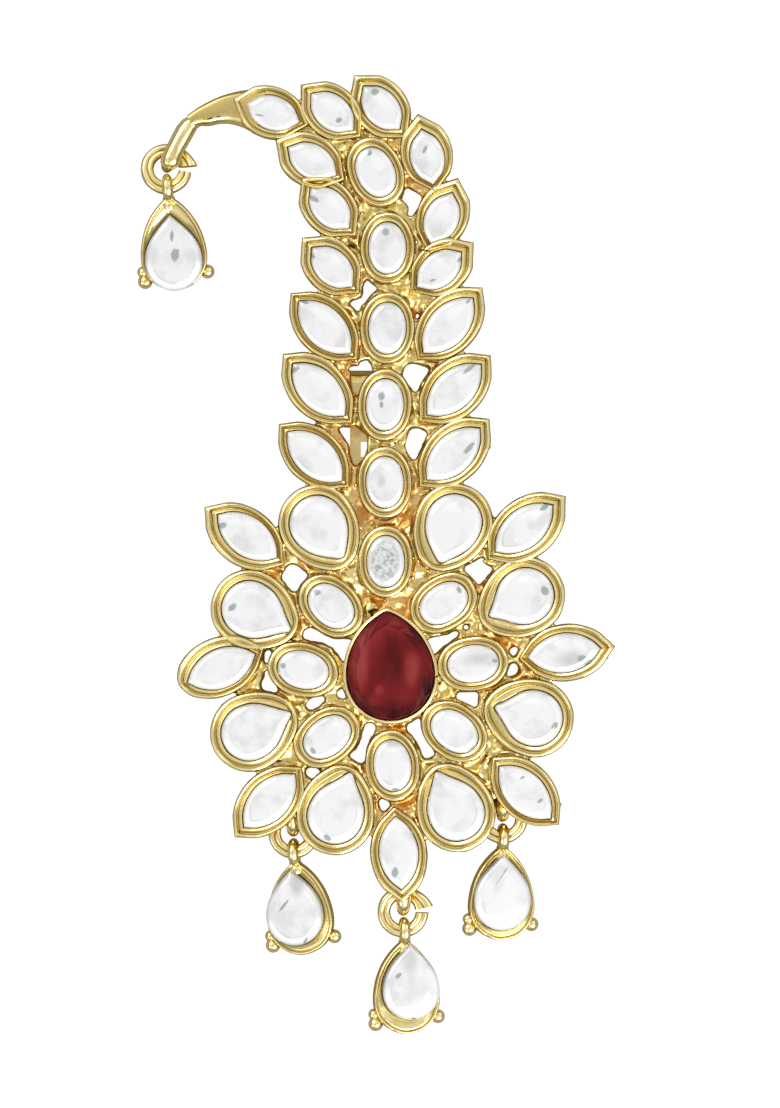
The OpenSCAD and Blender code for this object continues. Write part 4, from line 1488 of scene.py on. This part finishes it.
class ORNAMENT_OT_rings(bpy.types.Operator):
    """Bend the jump rings, the frame's eyes and the hook's rod"""

    bl_idname = "ornament.rings"
    bl_label = "Rings and eyes"

    def execute(self, context):
        # Painted shade on the lower parts of the rings
        gilt = gilt_finish("Gilding of the rings", 0.0003, 0.0016)
        for name, (flare, rise) in zip(DROPS, RING_FLARES):
            middle, axes = self.ring_place(f"{name}_ring")
            rings, inner = [], []
            for a in np.radians(np.linspace(0, RING_RUN, 90)):
                early = max(0.0, 1 - a / math.radians(FLARE_RUN))
                section = []
                for out, up, dull_and_shade in BAND_SECTION:
                    r = RING + 0.6 * flare * early * early + out * (1 + 0.9 * flare * early * early)
                    section.append((r * math.cos(a), r * math.sin(a), rise * early + up))
                    inner.append(dull_and_shade)
                rings.append(uneven(middle + np.array(section) @ axes, size=1.6, depth=0.05))
            finished(lofted(f"{name}_band", rings, inner + [0.5, 0.5], gilt, 60), f"{name}_ring")
        self.eyes()
        return {"FINISHED"}

    def ring_place(self, node):
        """Middle of a jump ring and its turn, so that its wire starts where the solid's does."""
        points = lumps(node)[0][0]
        rough_middle = points.mean(0)
        vectors = np.linalg.eigh(np.cov((points - rough_middle).T))[1]
        normal = vectors[:, 0] * (1 if vectors[2, 0] > 0 else -1)
        x = vectors[:, 2]
        y = np.cross(normal, x)
        u, v = (points - rough_middle) @ x, (points - rough_middle) @ y
        rows = np.column_stack([2 * u, 2 * v, np.ones(len(u))])
        fit = np.linalg.lstsq(rows, u * u + v * v, rcond=None)[0]
        middle = rough_middle + x * fit[0] + y * fit[1]
        angles = np.sort(np.arctan2(v - fit[1], u - fit[0]))
        steps = np.diff(np.append(angles, angles[0] + 2 * math.pi))
        start = angles[(int(steps.argmax()) + 1) % len(angles)]
        first = math.cos(start) * x + math.sin(start) * y
        return middle, np.array([first, np.cross(normal, first), normal])

    def eyes(self):
        """The frame's four eyes, and the hook's rod."""
        # Painted shade on the lower parts of the eyes
        gilt = gilt_finish("Gilding of the eyes", 0.0022, 0.0036)
        loops = []
        for x, y, lean, turn in EYES:
            leaning = Matrix.Rotation(math.radians(lean), 3, "Z")
            own = Matrix.Rotation(math.radians(turn), 3, "Z")
            loop = []
            for a in np.linspace(0, 2 * math.pi, 40, endpoint=False):
                upper = max(0.0, math.sin(a))
                r = EYE + 0.15 * upper
                out = r * math.cos(a) - (EYE_LONGER if math.cos(a) < 0 else 0.0)
                flat = leaning @ (own @ Vector((0, RING + out, 0)) - Vector((0, RING, 0)))
                loop.append((x + flat.x, y + flat.y, EYE_HEIGHT + r * math.sin(a), 1 + 0.45 * upper))
            loops.append(loop)
        eyes = wires("frame_eyes", gilt, loops, closed=True, radius=EYE_WIRE, sides=18)
        path = [(*seen_at(px, py), back_height() + ROD_HEIGHT, r) for px, py, r in ROD]
        rod = wires("rod", gilt, [path], closed=False, radius=1, sides=24)
        finished(joined("frame_eyes_and_rod", [eyes, rod], 60))


class ORNAMENT_OT_clip(bpy.types.Operator):
    """Gild the folded sheet clip behind the stem"""

    bl_idname = "ornament.clip"
    bl_label = "Clip"

    def execute(self, context):
        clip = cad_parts["back_clip"]
        clip.data.materials.clear()
        # Painted shade: the clip lies low behind the frame and takes mostly the recess colours
        clip.data.materials.append(gilt_finish("Gilding of the clip", 0.001, 0.005, grain=0.1))
        return {"FINISHED"}


class ORNAMENT_OT_stage(bpy.types.Operator):
    """Lay the pale floor, light it softly and place the camera overhead"""

    bl_idname = "ornament.stage"
    bl_label = "Stage"

    def execute(self, context):
        scene = context.scene
        stage = scene.ornament_stage
        scene.view_settings.view_transform = "Standard"
        self.floor(stage)
        self.sky(scene, stage)
        self.lamp("Key light", at=(0.18, -0.3, 0.42), size=0.3, power=1.6)
        self.camera(scene, stage)
        return {"FINISHED"}

    def floor(self, stage):
        """Wide floor that the camera sees nearly white and that lights the metal only a little."""
        material, shader, add = finish_nodes("Pale floor")
        cloud = noised(add, add("ShaderNodeTexCoord").outputs["Object"], 14.0, 2.0)
        colour = mixed(add, mapped(add, cloud, 0.3, 0.7, 0.0, 0.06), (*stage.floor, 1), grey(0.14))
        seen = add("ShaderNodeLightPath").outputs["Is Camera Ray"]
        glow = mapped(add, seen, 0.0, 1.0, stage.floor_glow, 0.97)
        feed(shader, Base_Color=colour, Roughness=0.95, Specular_IOR_Level=0.1)
        feed(shader, Emission_Color=grey(1), Emission_Strength=glow)
        reach = 1500.0
        corners = [(-reach, -reach, 0), (reach, -reach, 0), (reach, reach, 0), (-reach, reach, 0)]
        made("floor", corners, [(0, 1, 2, 3)], material)

    def sky(self, scene, stage):
        """Pale sky with soft boxes of light, plain where the camera sees it."""
        world = bpy.data.worlds.new("Soft studio")
        scene.world = world
        world.use_nodes = True
        add = maker(world.node_tree)
        where = add("ShaderNodeTexCoord").outputs["Generated"]
        height = add("ShaderNodeSeparateXYZ", Vector=where).outputs["Z"]
        light = ramped(add, height, [(at, grey(level)) for at, level in SKY_LEVELS])
        for direction, reach, level in SOFT_BOXES:
            toward = Vector(direction).normalized()
            dot = pair(add("ShaderNodeVectorMath", {"operation": "DOT_PRODUCT"}), where, toward)
            outer, core = (math.cos(math.radians(reach + soft)) for soft in (3, -3))
            box = mapped(add, dot.outputs["Value"], outer, core, 0.0, level)
            light = pair(add("ShaderNodeVectorMath"), light, box)
        seen = add("ShaderNodeLightPath").outputs["Is Camera Ray"]
        plain = mixed(add, seen, light, grey(0.93))
        feed(world.node_tree.nodes["Background"], Color=plain, Strength=stage.sky)

    def lamp(self, name, at, size, power):
        """A square lamp that looks at the frame's middle."""
        light = bpy.data.lights.new(name, "AREA")
        light.shape = "SQUARE"
        light.size = size
        light.energy = power
        lamp = linked(name, light)
        lamp.location = at
        lamp.rotation_mode = "QUATERNION"
        lamp.rotation_quaternion = (-Vector(at)).to_track_quat("-Z", "Y")

    def camera(self, scene, stage):
        """Camera straight above, over the photograph's middle."""
        view = bpy.data.cameras.new("Camera")
        view.lens = stage.lens
        view.sensor_width = 36.0
        view.clip_start = 0.01
        view.clip_end = 20.0
        scene.camera = linked("Camera", view)
        distance = stage.frame_height * stage.lens / view.sensor_width
        scene.camera.location = Vector(SEEN) * MM + Vector((0, 0, distance))


class ORNAMENT_PT_panel(bpy.types.Panel):
    """Settings of the ornament and the buttons that make it"""

    bl_label = "Turban ornament"
    bl_idname = "ORNAMENT_PT_panel"
    bl_space_type = "VIEW_3D"
    bl_region_type = "UI"
    bl_category = "Ornament"

    def draw(self, context):
        layout = self.layout
        for group in GROUPS:
            box = layout.box()
            for name in GROUPS[group].__annotations__:
                box.prop(getattr(context.scene, group), name)
        for operator in OPERATORS:
            layout.operator(operator.bl_idname)


GROUPS = {
    "ornament_metal": OrnamentMetal,
    "ornament_stones": OrnamentStones,
    "ornament_stage": OrnamentStage,
}
OPERATORS = [
    ORNAMENT_OT_cast_body,
    ORNAMENT_OT_cups,
    ORNAMENT_OT_white_stones,
    ORNAMENT_OT_red_stone,
    ORNAMENT_OT_rings,
    ORNAMENT_OT_drops,
    ORNAMENT_OT_clip,
    ORNAMENT_OT_stage,
]


def register():
    for name, group in GROUPS.items():
        bpy.utils.register_class(group)
        setattr(bpy.types.Scene, name, bpy.props.PointerProperty(type=group))
    for operator in OPERATORS:
        bpy.utils.register_class(operator)
    bpy.utils.register_class(ORNAMENT_PT_panel)


def unregister():
    bpy.utils.unregister_class(ORNAMENT_PT_panel)
    for operator in reversed(OPERATORS):
        bpy.utils.unregister_class(operator)
    for name, group in GROUPS.items():
        delattr(bpy.types.Scene, name)
        bpy.utils.unregister_class(group)


def main():
    register()
    bpy.ops.ornament.cast_body()
    bpy.ops.ornament.cups()
    bpy.ops.ornament.white_stones()
    bpy.ops.ornament.red_stone()
    bpy.ops.ornament.rings()
    bpy.ops.ornament.drops()
    bpy.ops.ornament.clip()
    bpy.ops.ornament.stage()
    bpy.context.view_layer.update()


if __name__ == "__main__":
    main()
